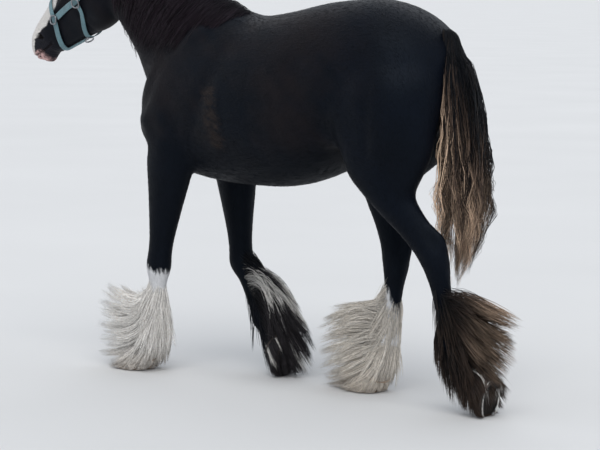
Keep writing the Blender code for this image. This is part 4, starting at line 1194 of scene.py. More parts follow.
def muscles(points, triangles):
    """Grooves and swellings that the coat shows in its shine."""
    normals = normals_of(points, triangles)
    x, y, z = points.T
    upper = step(0.12, 0.17, np.abs(y))
    total = np.zeros(len(points))
    for (x0, z0), (x1, z1), width, depth in GROOVES:
        run = np.array((x1 - x0, z1 - z0))
        share = np.clip(((x - x0) * run[0] + (z - z0) * run[1]) / (run @ run), 0, 1)
        apart = np.hypot(x - x0 - share * run[0], z - z0 - share * run[1])
        total -= depth * bell(apart, 0, width) * upper
    ribs = RIB_RISE * np.sin((x + 0.10 * (z - 1.0)) * 2 * math.pi / RIB_PITCH)
    ribs *= step(-0.28, -0.15, x) * step(0.25, 0.12, x) * step(0.86, 0.96, z) * step(1.30, 1.16, z)
    return points + normals * (total + ribs * upper)[:, None]


def tucked(points):
    """Draws the ends of the legs in, so that they lie within the hooves."""
    made = points.copy()
    for name, mask in leg_masks(points).items():
        centre, normal = (np.array(v) for v in coronet_plane(PLACES[name]))
        under = (points - centre) @ normal
        axis = centre + under[:, None] * normal
        chosen = mask & (under < 0.0) & (under > -0.16) & (np.linalg.norm(points - axis, axis=1) < 0.09)
        pull = 1 - 0.45 * step(0.0, -0.012, under[chosen])
        made[chosen] = axis[chosen] + (points[chosen] - axis[chosen]) * pull[:, None]
        made[chosen] += normal * (np.maximum(under[chosen], -0.020) - under[chosen])[:, None]
    return made


# Ears

def ear_form(side):
    """A thin cupped ear: points and triangles of one closed skin, and its depth inside."""
    along, across, up = (np.array(v) for v in head_axes())
    base = np.array(in_head(0.012, side * 0.052, 0.078))
    line = unit(up * 0.86 - along * 0.45 + across * side * 0.16)
    opening = along * 0.75 + across * side * 0.66
    opening = unit(opening - line * (opening @ line))
    wide = np.cross(line, opening)
    arc = np.radians(np.linspace(-112, 112, EAR_AROUND))
    rings, inside = [], []
    for share, half, deep in through(EAR, 5):
        middle = base + line * share * EAR_LENGTH - opening * 0.016 * share**2
        wall = EAR_WALL * step(0.0, 0.15, 1 - share) + 0.0004
        cup = step(0.02, 0.22, share)
        faces = []
        for across, far in ((half, deep), (half - wall, (deep - wall) * cup - 0.55 * deep * (1 - cup))):
            faces.append(middle + np.outer(np.sin(arc) * across, wide) - np.outer(np.cos(arc) * far, opening))
        back, front = faces
        rings.append(np.vstack([back, front[::-1]]))
        inside.append(np.concatenate([np.zeros(EAR_AROUND), np.full(EAR_AROUND, cup)]))
    work = shell(rings)
    bmesh.ops.triangulate(work, faces=work.faces)
    work.verts.index_update()
    points = np.array([v.co for v in work.verts])
    triangles = np.array([[v.index for v in f.verts] for f in work.faces])
    work.free()
    hollow = np.zeros(len(points))
    hollow[: 2 * EAR_AROUND * len(rings)] = np.concatenate(inside)
    return points, triangles, hollow


# Markings

def near_line(points, line, reach):
    """1 on a line of points, falling to 0 at reach from it."""
    best = np.full(len(points), np.inf)
    line = np.array(line, float)
    for a, b in zip(line, line[1:]):
        run = b - a
        share = np.clip((points - a) @ run / (run @ run), 0, 1)[:, None]
        best = np.minimum(best, np.linalg.norm(points - a - share * run, axis=1))
    return step(reach, 0.5 * reach, best)


def mixed(colours, colour, share):
    share = np.asarray(share)[:, None]
    return colours * (1 - share) + np.array(colour) * share


def body_colour(points):
    """Near black, with a painted brown sheen on the upper body and a painted brown reflection in the streak
    behind the near shoulder.
    """
    colours = np.tile(BLACK, (len(points), 1))
    x, y, z = points.T
    # Painted sheen: the upper body is browner, as if lit
    painted_sheen = 0.42 + 0.40 * ripples(points, 0.42, 11) + 0.20 * ripples(points, 0.09, 12)
    painted_sheen *= step(0.80, 0.98, z) * step(0.62, 0.30, x)
    colours = mixed(colours, SHEEN_BROWN, np.clip(painted_sheen, 0, 1))
    # Painted reflection: the streak behind the near shoulder is painted brown
    streak = near_line(points, SHOULDER_STREAK, 0.045) * (0.55 + 0.45 * ripples(points, 0.03, 13))
    colours = mixed(colours, STREAK_REFLECTION, np.clip(streak, 0, 1) * (y < 0))
    grey = 0.5 + 0.5 * ripples(points, 0.30, 14)
    return mixed(colours, SLATE, 0.6 * np.clip(grey, 0, 1) * step(0.25, 0.50, x))


def face_colour(points, colours):
    head = head_frame(points)
    along, side, up = head[:, 0], np.abs(head[:, 1]), head[:, 2]
    share = head_share(points)
    angle = np.degrees(np.arctan2(side, up - HEAD_MIDDLE))
    edge = np.interp(along, *BLAZE) + 2.4 * ripples(points, 0.045, 21) + 1.4 * ripples(points, 0.012, 22)
    blaze = step(4.0, -4.0, angle - edge) * step(0.02, 0.05, along) * (share > 0.5)
    colours = mixed(colours, MUZZLE_GREY, step(0.46, 0.52, along) * (1 - blaze) * share)
    colours = mixed(colours, FACE_WHITE, blaze)
    gap = up - np.interp(along, *MOUTH_LINE)
    lips = step(0.018, 0.006, gap) * step(-0.052, -0.034, gap) * step(0.540, 0.575, along)
    front = 0.6 * step(0.590, 0.612, along)
    patchy = 0.85 + 0.75 * ripples(points, 0.018, 23)
    return mixed(colours, PINK, np.clip(np.maximum(lips, front) * share * patchy, 0, 1))


def leg_colour(points, colours):
    z = points[:, 2]
    masks = leg_masks(points)
    ragged = 0.010 * ripples(points, 0.022, 31) + 0.006 * ripples(points, 0.008, 32)
    for name, top in WHITE_TOP.items():
        ahead = line_at(LEGS[name], z)[:, 0] - points[:, 0]
        if name == "near_fore":
            edge = top + ragged + 0.040 * step(0.030, 0.042, ahead) - 0.012 * step(0.0, -0.03, ahead)
        else:
            edge = top + ragged - 0.075 * step(0.005, -0.035, ahead)
        colours = mixed(colours, LEG_WHITE, masks[name] * step(0.006, -0.006, z - edge))
    for spot, colour, reach in SPOTS:
        near = np.linalg.norm(points - np.array(spot), axis=1) + 0.3 * reach * ripples(points, 0.01, 33)
        colours = mixed(colours, colour, step(reach * 1.15, reach * 0.85, near))
    return colours


def markings(points):
    return leg_colour(points, face_colour(points, body_colour(points)))


# Lie of the coat

def lie_of(points):
    """Which way the short coat lies, before it is laid flat."""
    x, _, z = points.T
    head = head_share(points)[:, None]
    legs = step(0.86, 0.66, z)[:, None]
    neck = (step(-0.35, -0.60, x)[:, None]) * (1 - head)
    seat = step(0.50, 0.66, x)[:, None]
    flow = np.tile((0.93, 0.0, -0.34), (len(points), 1))
    flow = flow * (1 - neck) + np.array((0.55, 0, -0.83)) * neck
    flow = flow * (1 - seat) + np.array((0.15, 0, -1.0)) * seat
    flow = flow * (1 - legs) + np.array((0.05, 0, -1.0)) * legs
    return flow * (1 - head) + np.array(head_axes()[0]) * head


def flattened(flow, normals):
    return unit(flow - normals * (flow * normals).sum(axis=1, keepdims=True))


# The unwrap that places each tuft's colours

def home_of(points):
    """A place on a flat unwrap of the skin: trunk and neck on top, head and legs below it."""
    x, y, z = points.T
    middle = np.interp(x, (-0.95, -0.60, -0.30, 0.70), (1.50, 1.28, 1.12, 1.13))
    u = np.arctan2(y, z - middle) / (2 * math.pi) + 0.5
    made = np.column_stack([0.01 + 0.98 * u, 0.46 + 0.53 * np.clip((0.78 - x) / 1.75, 0, 1)])
    for k, (name, mask) in enumerate(leg_masks(points).items()):
        away = points[mask] - line_at(LEGS[name], points[mask, 2])
        round_it = np.arctan2(away[:, 1], away[:, 0]) / (2 * math.pi) + 0.5
        made[mask, 0] = 0.42 + 0.145 * k + 0.13 * round_it
        made[mask, 1] = 0.01 + 0.43 * np.clip(points[mask, 2] / LEG_TOP, 0, 1)
    chosen = head_share(points) > 0.5
    head = head_frame(points[chosen])
    round_it = np.arctan2(head[:, 1], head[:, 2] - HEAD_MIDDLE) / (2 * math.pi) + 0.5
    made[chosen, 0] = 0.01 + 0.38 * round_it
    made[chosen, 1] = 0.01 + 0.43 * np.clip(head[:, 0] / 0.66, 0, 1)
    return made


def add_map(obj, places, label="OFBake"):
    """Gives a piece a map, from one place for each point."""
    mesh = obj.data
    corners = np.empty(len(mesh.loops), np.int32)
    mesh.loops.foreach_get("vertex_index", corners)
    layer = mesh.uv_layers.new(name=label)
    layer.data.foreach_set("uv", places[corners].astype(np.float32).ravel())


# Coat and long hair

def spread(points, triangles, normals, weight, count):
    """Places strewn over the skin, as many where weight is high as it says: points and normals."""
    a, b, c = (points[triangles[:, k]] for k in range(3))
    area = np.linalg.norm(np.cross(b - a, c - a), axis=1) * weight((a + b + c) / 3)
    chosen = DRAW.choice(len(triangles), count, p=area / area.sum())
    r, s = DRAW.random((2, count))
    r = np.sqrt(r)
    shares = np.column_stack([1 - r, r * (1 - s), r * s])[:, :, None]
    corners = triangles[chosen]
    return (points[corners] * shares).sum(axis=1), unit((normals[corners] * shares).sum(axis=1))


def on_skin(tree, points):
    """The nearest places on the skin, and its normals there."""
    found = [tree.find_nearest(Vector(p))[:2] for p in points]
    return np.array([f[0] for f in found]), np.array([f[1] for f in found])


def tufts(name, roots, normals, lengths, widths, rise, tree, colours, material):
    """Thin leaf-shaped tufts that lie along the skin."""
    flow = flattened(lie_of(roots), normals)
    across = np.cross(normals, flow)
    sway = DRAW.normal(0, 0.16, len(roots))[:, None]
    flow = unit(flow + across * sway)
    across = np.cross(normals, flow)
    middles, up = on_skin(tree, roots + flow * lengths[:, None] * 0.45)
    tips, tip_up = on_skin(tree, roots + flow * lengths[:, None])
    half = widths[:, None] / 2
    rise = rise[:, None]
    middles = middles + up * (0.0002 + rise * 0.15)
    corners = np.stack([
        roots - normals * 0.0008,
        middles + across * half,
        middles - across * half,
        middles + up * (0.00015 + 0.06 * rise),
        tips + tip_up * rise,
    ], axis=1)
    faces = np.array(((0, 1, 3), (0, 3, 2), (0, 2, 1), (4, 3, 1), (4, 2, 3), (4, 1, 2)))
    shade = np.array((0.94, 1.0, 1.0, 1.0, 1.06))[None, :, None]
    patch = np.array(((0.5, 0), (0, 0.5), (1, 0.5), (0.5, 0.5), (0.5, 1))) * PATCH
    homes = home_of(roots)
    made = []
    for start in range(0, len(roots), TUFTS_A_PIECE):
        rows = slice(start, start + TUFTS_A_PIECE)
        count = len(roots[rows])
        triangles = (faces[None] + 5 * np.arange(count)[:, None, None]).reshape(-1, 3)
        shaded = (colours[rows, None] * shade).reshape(-1, 3)
        label = f"{name}_{len(made) + 1}"
        obj = mesh_object(label, corners[rows].reshape(-1, 3), triangles, material, shaded, smooth=False)
        add_map(obj, (homes[rows, None] + patch[None]).reshape(-1, 2))
        made.append(obj)
    return made


def strands(name, paths, radii, wide, colours, material):
    """Locks of long hair: closed tubes of three sides that follow the paths."""
    count, steps = paths.shape[:2]
    along = unit(np.gradient(paths, axis=1))
    wide = wide[:, None] - along * (wide[:, None] * along).sum(axis=2, keepdims=True)
    wide = unit(wide)
    lift = np.cross(along, wide)
    reach = radii[:, :, None]
    rings = np.stack([paths + wide * reach, paths - wide * reach, paths + lift * reach * 0.8], axis=2)[:, :-1]
    corners = np.concatenate([rings.reshape(count, -1, 3), paths[:, -1:]], axis=1)
    each = corners.shape[1]
    faces = [(0, 1, 2)]
    for i in range(steps - 2):
        for k in range(3):
            a, b = 3 * i + k, 3 * i + (k + 1) % 3
            faces += [(a, b + 3, b), (a, a + 3, b + 3)]
    last = 3 * (steps - 2)
    faces += [(last + k, each - 1, last + (k + 1) % 3) for k in range(3)]
    faces = np.array(faces)
    shaded = np.concatenate([np.repeat(colours[:, :-1], 3, axis=1), colours[:, -1:]], axis=1)
    run = np.append(np.repeat(np.arange(steps - 1), 3), steps - 1) / (steps - 1)
    turn_by = np.append(np.tile((0.0, 0.5, 1.0), steps - 1), 0.5)
    patch = np.column_stack([turn_by, run]) * PATCH
    homes = home_of(paths[:, 0])
    triangles = (faces[None] + each * np.arange(count)[:, None, None]).reshape(-1, 3)
    obj = mesh_object(name, corners.reshape(-1, 3), triangles, material, shaded.reshape(-1, 3))
    add_map(obj, (homes[:, None] + patch[None]).reshape(-1, 2))
    return obj


def tapered(count, steps, half, tip=0.25):
    """Half widths of many locks: thin at the root, full in the middle, fine at the tip."""
    t = np.linspace(0, 1, steps)
    shape = 0.55 + 0.45 * np.minimum(1, t / 0.25)
    shape = shape * (1 - (1 - tip) * np.clip((t - 0.45) / 0.55, 0, 1) ** 1.5)
    return half * DRAW.uniform(0.7, 1.3, count)[:, None] * shape[None]


def gathered(ends, keys, clumps, pull):
    """Draws ends that have like keys together, as wet or long hair hangs in locks."""
    centres = DRAW.choice(len(ends), clumps, replace=False)
    scale = keys.std(axis=0) + 1e-9
    apart = np.linalg.norm((keys[:, None] - keys[centres][None]) / scale, axis=2)
    nearest = centres[np.argmin(apart, axis=1)]
    return nearest, ends + (ends[nearest] - ends) * pull[:, None]


def along_hair(root, middle, tip, count, steps, vary):
    """Colours from root to tip, with each lock a little lighter or darker."""
    t = np.linspace(0, 1, steps)[None, :, None]
    root, middle, tip = (np.broadcast_to(c, (count, 3))[:, None] for c in (root, middle, tip))
    colours = np.where(t < 0.5, root + (middle - root) * 2 * t, middle + (tip - middle) * (2 * t - 1))
    return colours * (1 + vary * DRAW.normal(0, 1, count))[:, None, None].clip(0.45, 1.7)


def fan_paths(tree, name, table, count):
    """Long hair of one leg. Each row of the table is a lock in the leg's own plane: x and z of its root,
    of two places that it bends by and of its tip, and how far such locks spread sideways."""
    joints = LEGS[name]
    fine = through(table, 8)
    spot = DRAW.random(count) * (len(fine) - 1)
    rows = looked_up(spot, fine)
    rows[:, :8] += DRAW.normal(0, 0.008, (count, 8))
    rows[:, 0] += DRAW.normal(0, 0.016, count)
    rows[:, 1] -= 0.06 * DRAW.random(count) ** 2
    rows[:, 6:8] += (rows[:, 6:8] - rows[:, 4:6]) * 0.28
    sideways = DRAW.uniform(-1, 1, count)
    starts = line_at(joints, rows[:, 1])
    starts = np.column_stack([rows[:, 0], starts[:, 1] + 0.060 * sideways, rows[:, 1]])
    roots, out = on_skin(tree, starts)
    level = line_at(joints, rows[:, 7])[:, 1]
    rounded = np.sqrt(1 - (0.88 * sideways) ** 2)
    inner = DRAW.uniform(0.60, 1, count) ** 0.45
    bends = []
    for k, share in ((2, 0.25), (4, 0.72), (6, 1.0)):
        x = roots[:, 0] + (rows[:, k] - rows[:, 0]) * (1 - share + share * rounded * inner)
        z = rows[:, k + 1] + 0.04 * share * (1 - inner)
        y = roots[:, 1] + (level + sideways * rows[:, 8] * inner - roots[:, 1]) * share
        bends.append(np.column_stack([x, y, z]))
    first, second, tips = bends
    tips = second + (tips - second) * DRAW.uniform(FAN_SHORTEST, 1.0, count)[:, None]
    keys = np.column_stack([spot / len(fine) * 2.2, sideways])
    pull = DRAW.uniform(0.40, 0.92, count)
    nearest, tips = gathered(tips, keys, count // FEATHER_CLUMP, pull)
    second = second + (second[nearest] - second) * (0.5 * pull)[:, None]
    paths = bezier(roots - out * 0.002, first, second, tips, FEATHER_STEPS)
    t = np.linspace(0, 1, FEATHER_STEPS)[None, :]
    wave = np.sin(7 * t + DRAW.uniform(0, 6.3, count)[:, None]) * 0.004 * t
    side = unit(np.cross(tips - roots, out))
    paths += side[:, None] * wave[:, :, None]
    paths[:, :, 2] = np.maximum(paths[:, :, 2], 0.003 + 0.004 * DRAW.random(count)[:, None])
    return paths, out, spot / (len(fine) - 1), DRAW.random(count)[nearest]


def skirt_paths(tree, name, count, reach):
    """Hair round the pastern and over the hoof's wall, that hangs free at the heel."""
    lots = 44
    angle = DRAW.uniform(-math.pi, math.pi, count)
    lot = np.clip(((angle / math.pi + 1) / 2 * lots).astype(int), 0, lots - 1)
    place = PLACES[name]
    axis = -np.array(place)[:3, 2]
    out = 1.0 + 0.16 * DRAW.uniform(0.6, 1.3, count)
    ends = -reach * DRAW.uniform(0.2, 1.0, lots)[lot] * DRAW.uniform(0.5, 1.0, count)
    stages = ((0.97, 0.80), (0.90, 1.04), (0.45, out), (ends, out * 0.98))
    top, first, second, tips = (moved(hoof_outline(angle, *stage), place) for stage in stages)
    roots, away = on_skin(tree, top - axis * (0.07 * DRAW.random(count) ** 1.5)[:, None])
    heel = step(0.72, 0.95, np.abs(angle) / math.pi)
    hanging = first + (second - first) * 0.35
    hanging[:, 2] = first[:, 2] - (first[:, 2] - 0.006) * DRAW.uniform(0.6, 1.0, count)
    tips += (hanging - tips) * (heel * (first[:, 2] > 0.12) * 0.8)[:, None]
    tips += DRAW.normal(0, 0.006, (lots, 3))[lot] + DRAW.normal(0, 0.004, (count, 3))
    paths = bezier(roots, first, second, tips, FEATHER_STEPS)
    paths[:, :, 2] = np.maximum(paths[:, :, 2], 0.003 + 0.004 * DRAW.random(count)[:, None])
    return paths, away, HOOF_HAIR + np.abs(angle) / math.pi, DRAW.random(lots)[lot]


def shaft_paths(tree, name, count, top, sweep):
    """Shorter locks all round the cannon bone, over the roots of the long ones."""
    lots = 40
    height = DRAW.uniform(SHAFT_LOW, top, count)
    angle = DRAW.uniform(-SHAFT_ROUND, SHAFT_ROUND, count)
    around = np.column_stack([np.cos(angle), np.sin(angle), np.zeros(count)])
    roots, out = on_skin(tree, line_at(LEGS[name], height) + 0.06 * around)
    lot = ((np.floor((angle / math.pi + 1) * 4) + 8 * np.floor(height / 0.05)) % lots).astype(int)
    flow = unit(np.tile((sweep, 0, -1.0), (count, 1)) + 0.25 * out + DRAW.normal(0, 0.10, (lots, 3))[lot])
    length = DRAW.uniform(0.07, 0.15, count)[:, None]
    first = roots + out * 0.005 + flow * length * 0.3
    second = roots + out * 0.011 + flow * length * 0.65
    tips = roots + out * 0.012 + flow * length
    paths = bezier(roots - out * 0.002, first, second, tips, FEATHER_STEPS)
    paths[:, :, 2] = np.maximum(paths[:, :, 2], FLOOR_GAP)
    return paths, out, np.full(count, SHAFT_HAIR), DRAW.random(lots)[lot]


def heel_paths(name, count):
    """Hair from the heel along both edges of the sole to the toe."""
    side = np.where(np.arange(count) % 2, 1.0, -1.0)
    down = -np.array(PLACES[name])[:3, 2]
    places = []
    for t in (0.0, 0.33, 0.67, 1.0):
        angle = side * (2.75 - 2.2 * t + DRAW.normal(0, 0.05, count))
        outline = hoof_outline(angle, 0.30 * (1 - t) - 0.16, 1.0 - 0.10 * t + DRAW.normal(0, 0.03, count))
        places.append(moved(outline, PLACES[name]))
    paths = bezier(*places, FEATHER_STEPS)
    paths[:, :, 2] = np.maximum(paths[:, :, 2], FLOOR_GAP)
    return paths, np.tile(down, (count, 1)), np.full(count, HEEL_HAIR), DRAW.random(count)


def add_feather(tree, name, fan, skirt, shaft, heel, colour, material):
    """All the long hair of one leg, as one piece."""
    sorts = (
        fan_paths(tree, name, *fan),
        skirt_paths(tree, name, *skirt),
        shaft_paths(tree, name, *shaft),
        heel_paths(name, heel),
    )
    paths, out, spot, lot = (np.concatenate(values) for values in zip(*sorts))
    colours = colour(paths, spot, lot)
    wide = unit(np.cross(paths[:, -1] - paths[:, 0], out) + DRAW.normal(0, 0.3, (len(paths), 3)))
    radii = tapered(len(paths), FEATHER_STEPS, FEATHER_HALF)
    made = strands(f"{name}_feather_hair", paths, radii, wide, colours, material)
    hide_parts(f"{name}_feather")


def pale_feather(paths, lot, shade, light):
    """From a darker root to a light tip, stained near the ground."""
    count, steps = paths.shape[:2]
    low = step(0.10, 0.01, paths[:, :, 2])[:, :, None]
    # Darker locks and roots are painted shade deep in the hair
    tone = np.clip(lot + DRAW.normal(0, 0.25, count), 0, 1)
    middle = mixed(np.tile(shade, (count, 1)), light, tone)
    colours = along_hair(middle * 0.85, middle, light, count, steps, 0.12)
    return colours * (1 - 0.4 * low) + np.array(STAINED) * 0.4 * low


def white_feather(paths, spot, lot):
    return pale_feather(paths, lot, WHITE_HAIR * 0.82, WHITE_HAIR * 1.04)


def cream_feather(paths, spot, lot):
    return pale_feather(paths, lot, CREAM * 0.72, CREAM * 1.08)


def silver_feather(paths, spot, lot):
    """Silver locks from the back of the cannon bone, over hair that is dark down to the ground."""
    count, steps = paths.shape[:2]
    upper = (spot < 0.15) | (spot == SHAFT_HAIR)
    middle = np.where(upper[:, None], HAIR_BLACK * 1.5, GREY_BROWN * 0.6)
    colours = along_hair(HAIR_BLACK, middle, middle * 1.7, count, steps, 0.35)
    share = 0.85 * step(0.42, 0.32, spot) * step(0.13, 0.17, spot) + 0.06 * (spot > 0.2)
    silver = (lot < share) & (DRAW.random(count) < 0.85)
    pale = along_hair(SILVER * 0.5, SILVER, SILVER * 1.3, count, steps, 0.20)
    return np.where(silver[:, None, None], pale, colours)


def brown_feather(paths, spot, lot):
    """Blue-black roots, brown locks with sun-bleached tips, and pale hair at the heel."""
    count, steps = paths.shape[:2]
    bleached = (step(0.62, 0.25, spot) * step(0.88, 1.00, paths[:, -1, 0]))[:, None]
    light = (0.25 + 0.9 * lot * DRAW.uniform(0.5, 1.2, count))[:, None]
    tip = MID_BROWN * 0.42 * (1 - bleached) + TAN * bleached * light
    upper = np.where((spot == SHAFT_HAIR) | (np.abs(spot - 0.9) < 0.12), 0.45, 1.0)[:, None]
    middle = DARK_BROWN * 0.8 * upper * (1 - bleached) + MID_BROWN * 0.7 * bleached * light
    colours = along_hair(HAIR_BLACK, middle, tip, count, steps, 0.25)
    heel = ((np.abs(spot - HOOF_HAIR - 0.84) < 0.05) | (spot == HEEL_HAIR)) & (DRAW.random(count) < 0.8)
    pale = along_hair(SILVER * 0.7, WHITE_HAIR * 0.8, WHITE_HAIR * 0.9, count, steps, 0.10)
    return np.where(heel[:, None, None], pale, colours)


def in_circle(angle, share):
    """Places in a circle seen from above, for each angle and share of the way out."""
    return np.stack([-np.cos(angle), np.sin(angle)], axis=1)[:, None] * share[:, None, None]


def tail_hair(material):
    """Wavy locks from the dock, black at the top and fair at the ragged ends."""
    count, steps = TAIL_LOCKS, TAIL_STEPS
    share = DRAW.random(count) ** 0.8
    dock = through(DOCK, 8)
    spot = share * (len(dock) - 1)
    root = looked_up(spot, dock)
    angle = DRAW.uniform(-math.pi, math.pi, count)
    out = np.column_stack([-np.cos(angle), np.sin(angle), np.zeros(count)])
    root += out * np.array((0.014, 0.018, 0)) + np.array((0.004, 0, 0))
    rows = through(TAIL, 6)[::-1]
    lowest = rows[0, 1]
    ends_at = lowest + 0.02 + 0.34 * DRAW.random(count) ** 1.7 + 0.10 * (DRAW.random(count) < 0.12)
    fill = DRAW.uniform(0.10, 1, count) ** 0.5
    clump = DRAW.integers(0, TAIL_CLUMPS, count)
    clump_angle = DRAW.uniform(-math.pi, math.pi, TAIL_CLUMPS)
    clump_fill = DRAW.uniform(0.25, 0.98, TAIL_CLUMPS)
    clump_end = lowest - 0.05 + 0.44 * DRAW.random(TAIL_CLUMPS) ** 1.3
    ends_at = ends_at * 0.25 + clump_end[clump] * 0.75
    t = np.linspace(0, 1, steps)[None, :]
    height = root[:, 2:3] + (ends_at[:, None] - root[:, 2:3]) * t ** 0.95
    x_mid = np.interp(height, rows[:, 1], rows[:, 0])
    deep = np.interp(height, rows[:, 1], rows[:, 2])
    half = np.interp(height, rows[:, 1], rows[:, 3])
    pull = 0.92 * np.clip(t / 0.85, 0, 1) ** 1.3
    own = in_circle(angle, fill)
    place = own + (in_circle(clump_angle, clump_fill)[clump] - own) * pull[:, :, None]
    blend = step(0.0, 0.22, t)
    x = root[:, :1] + (x_mid + deep * place[:, :, 0] - root[:, :1]) * blend
    y = root[:, 1:2] + (half * place[:, :, 1] - root[:, 1:2]) * blend
    astray = DRAW.random(TAIL_CLUMPS) < 0.22
    stray = np.where(astray, DRAW.uniform(0.015, 0.055, TAIL_CLUMPS), 0)[clump][:, None]
    fallen = step(0.72, 0.42, height)
    x += 0.5 * stray * place[:, :, 0] * step(0.65, 1.0, t) - 0.045 * fallen
    y += stray * place[:, :, 1] * step(0.65, 1.0, t)
    phase = DRAW.uniform(0, 2 * math.pi, TAIL_CLUMPS)[clump][:, None] + DRAW.normal(0, 0.4, count)[:, None]
    pitch = DRAW.uniform(0.10, 0.19, TAIL_CLUMPS)[clump][:, None]
    size = (0.0150 * t ** 1.1) * DRAW.uniform(0.4, 1.3, count)[:, None]
    x += np.sin(height / pitch * 2 * math.pi + phase) * size
    y += np.cos(height / pitch * 2 * math.pi * 0.9 + 1.7 * phase) * size
    paths = np.stack([x, y, height], axis=2)
    late = 0.11 * DRAW.normal(0, 1, TAIL_CLUMPS)[clump] + 0.05 * DRAW.normal(0, 1, count)
    late += 0.15 * (0.62 * np.sin(angle) - 0.79 * np.cos(angle)) * fill
    fair = step(0.98, 0.66, height + late[:, None])[:, :, None]
    middle = step(1.14, 0.92, height + late[:, None])[:, :, None]
    tone = (0.8 * step(0.35, 0.65, DRAW.random(TAIL_CLUMPS))[clump] + 0.2 * DRAW.random(count))[:, None, None]
    dark_lock = (DRAW.random(count) < 0.28)[:, None, None]
    blond = np.where(dark_lock, MID_BROWN * 0.4, TAN * (0.35 + 1.35 * tone**1.5))
    colours = HAIR_BLACK * (1 - middle) + (MID_BROWN * (0.15 + 1.1 * tone**2)) * middle
    colours = colours * (1 - fair) + blond * fair
    radii = tapered(count, steps, TAIL_HALF, 0.15)
    round_it = np.column_stack([-np.sin(angle), np.cos(angle), np.zeros(count)])
    wide = unit(round_it + DRAW.normal(0, 0.4, (count, 3)))
    made = strands("tail_hair", paths, radii, wide, colours, material)
    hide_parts("tail")


def neck_section(spot):
    """Rows of the neck's table at places between 0 and its end."""
    rows = np.column_stack([np.array(NECK), MANE_DROP])
    fine = through(rows, 8)
    return np.column_stack([np.interp(spot * 8, np.arange(len(fine)), fine[:, k]) for k in range(7)])


def on_neck(spot, angle, lift):
    """Places over the neck: angle runs round it, with its top at 90 degrees and the near side beyond."""
    crest_x, crest_z, under_x, under_z, half, y, _ = neck_section(spot).T
    crest = np.column_stack([crest_x, y, crest_z])
    under = np.column_stack([under_x, y, under_z])
    reach = np.linalg.norm(crest - under, axis=1)
    up = (crest - under) / reach[:, None]
    centre = under + up * (reach * NECK_BELOW)[:, None]
    rise, across = np.sin(angle), np.cos(angle)
    full = np.where(rise > 0, 2 / 1.8, 2 / 2.1)
    height = np.where(rise > 0, reach * NECK_ABOVE + lift, reach * NECK_BELOW + lift)
    height = height * signed_power(rise, full)
    width = (half + lift) * signed_power(across, full)
    return centre + up * height[:, None] + np.column_stack([0 * width, width, 0 * width])


def mane_hair(material):
    """Locks from the crest, nearly all of them down the near side."""
    count, steps = MANE_LOCKS, MANE_STEPS
    spot = DRAW.uniform(0.05, 5.92, count)
    rows = neck_section(spot)
    reach = np.hypot(rows[:, 0] - rows[:, 2], rows[:, 1] - rows[:, 3])
    above = reach * NECK_ABOVE
    drop_by = rows[:, 6] * DRAW.uniform(0.35, 1.08, count)
    last = np.where(
        drop_by < above,
        math.pi - np.arcsin(np.clip((above - drop_by) / above, 0, 1) ** 0.9),
        math.pi + np.arcsin(np.clip((drop_by - above) / (reach * NECK_BELOW), 0, 1) ** 1.05),
    )
    start = np.radians(DRAW.uniform(78, 104, count))
    layer = DRAW.random(count)
    drift = DRAW.normal(-0.28, 0.16, count)
    keys = np.column_stack([spot * 3, layer])
    nearest, _ = gathered(np.zeros((count, 3)), keys, count // 30, np.zeros(count))
    pull = DRAW.uniform(0.2, 0.85, count)
    t = np.linspace(0, 1, steps)
    paths = np.empty((count, steps, 3))
    for i, share in enumerate(t):
        angle = start + (last - start) * share ** 0.9
        here = spot + drift * share ** 1.2
        swell = layer * np.sin(math.pi * min(1, 0.12 + 0.75 * share))
        lift = 0.002 + (MANE_THICKNESS - 0.006) * (0.05 + 0.95 * step(5.95, 5.1, spot)) * swell
        lift = lift - POLL_SINK * step(5.5, 5.95, spot) * max(0, 1 - share / 0.35)
        paths[:, i] = on_neck(np.clip(here, 0, 6), angle, lift)
    for i, share in enumerate(t):
        paths[:, i] += (paths[nearest, i] - paths[:, i]) * (pull * share**1.2)[:, None]
    phase = DRAW.uniform(0, 6.3, count)[nearest][:, None]
    wave = np.sin(9 * t[None] + phase) * 0.006 * t[None]
    paths[:, :, 0] += wave
    colours = along_hair(HAIR_BLACK * 1.3, MANE_BROWN, MANE_BROWN * 1.25, count, steps, 0.28)
    wide = unit(np.tile((1.0, 0, 0.4), (count, 1)) + DRAW.normal(0, 0.3, (count, 3)))
    made = strands("mane_hair", paths, tapered(count, steps, MANE_HALF), wide, colours, material)
    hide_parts("mane")


def forelock_hair(material):
    count, steps = FORELOCK_LOCKS, 8
    rows = through(FORELOCK, 6)
    across = DRAW.uniform(-1, 1, count)
    layer = DRAW.random(count)
    reach = DRAW.uniform(0.55, 1.0, count)
    start = DRAW.uniform(-0.010, 0.030, count)
    t = np.linspace(0, 1, steps)
    paths = np.empty((count, steps, 3))
    axes = np.array(head_axes())
    for i, share in enumerate(t):
        along = start + (0.240 * reach - start) * share
        up, half, deep = (np.interp(along, rows[:, 0], rows[:, k]) for k in (1, 2, 3))
        side = across * half * 0.92
        height = up - 0.022 * across**2 + deep * (layer * 1.5 - 0.6)
        paths[:, i] = np.array(POLL) + np.column_stack([along, side, height]) @ axes
    wave = np.sin(8 * t[None] + DRAW.uniform(0, 6.3, count)[:, None]) * 0.003 * t[None]
    paths[:, :, 1] += wave
    colours = along_hair(HAIR_BLACK * 1.2, MANE_BROWN * 0.8, MANE_BROWN, count, steps, 0.25)
    wide = np.tile(axes[1], (count, 1))
    radii = tapered(count, steps, MANE_HALF)
    made = strands("forelock_hair", paths, radii, wide, colours, material)
    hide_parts("forelock")


# Hooves, eyes and headcollar

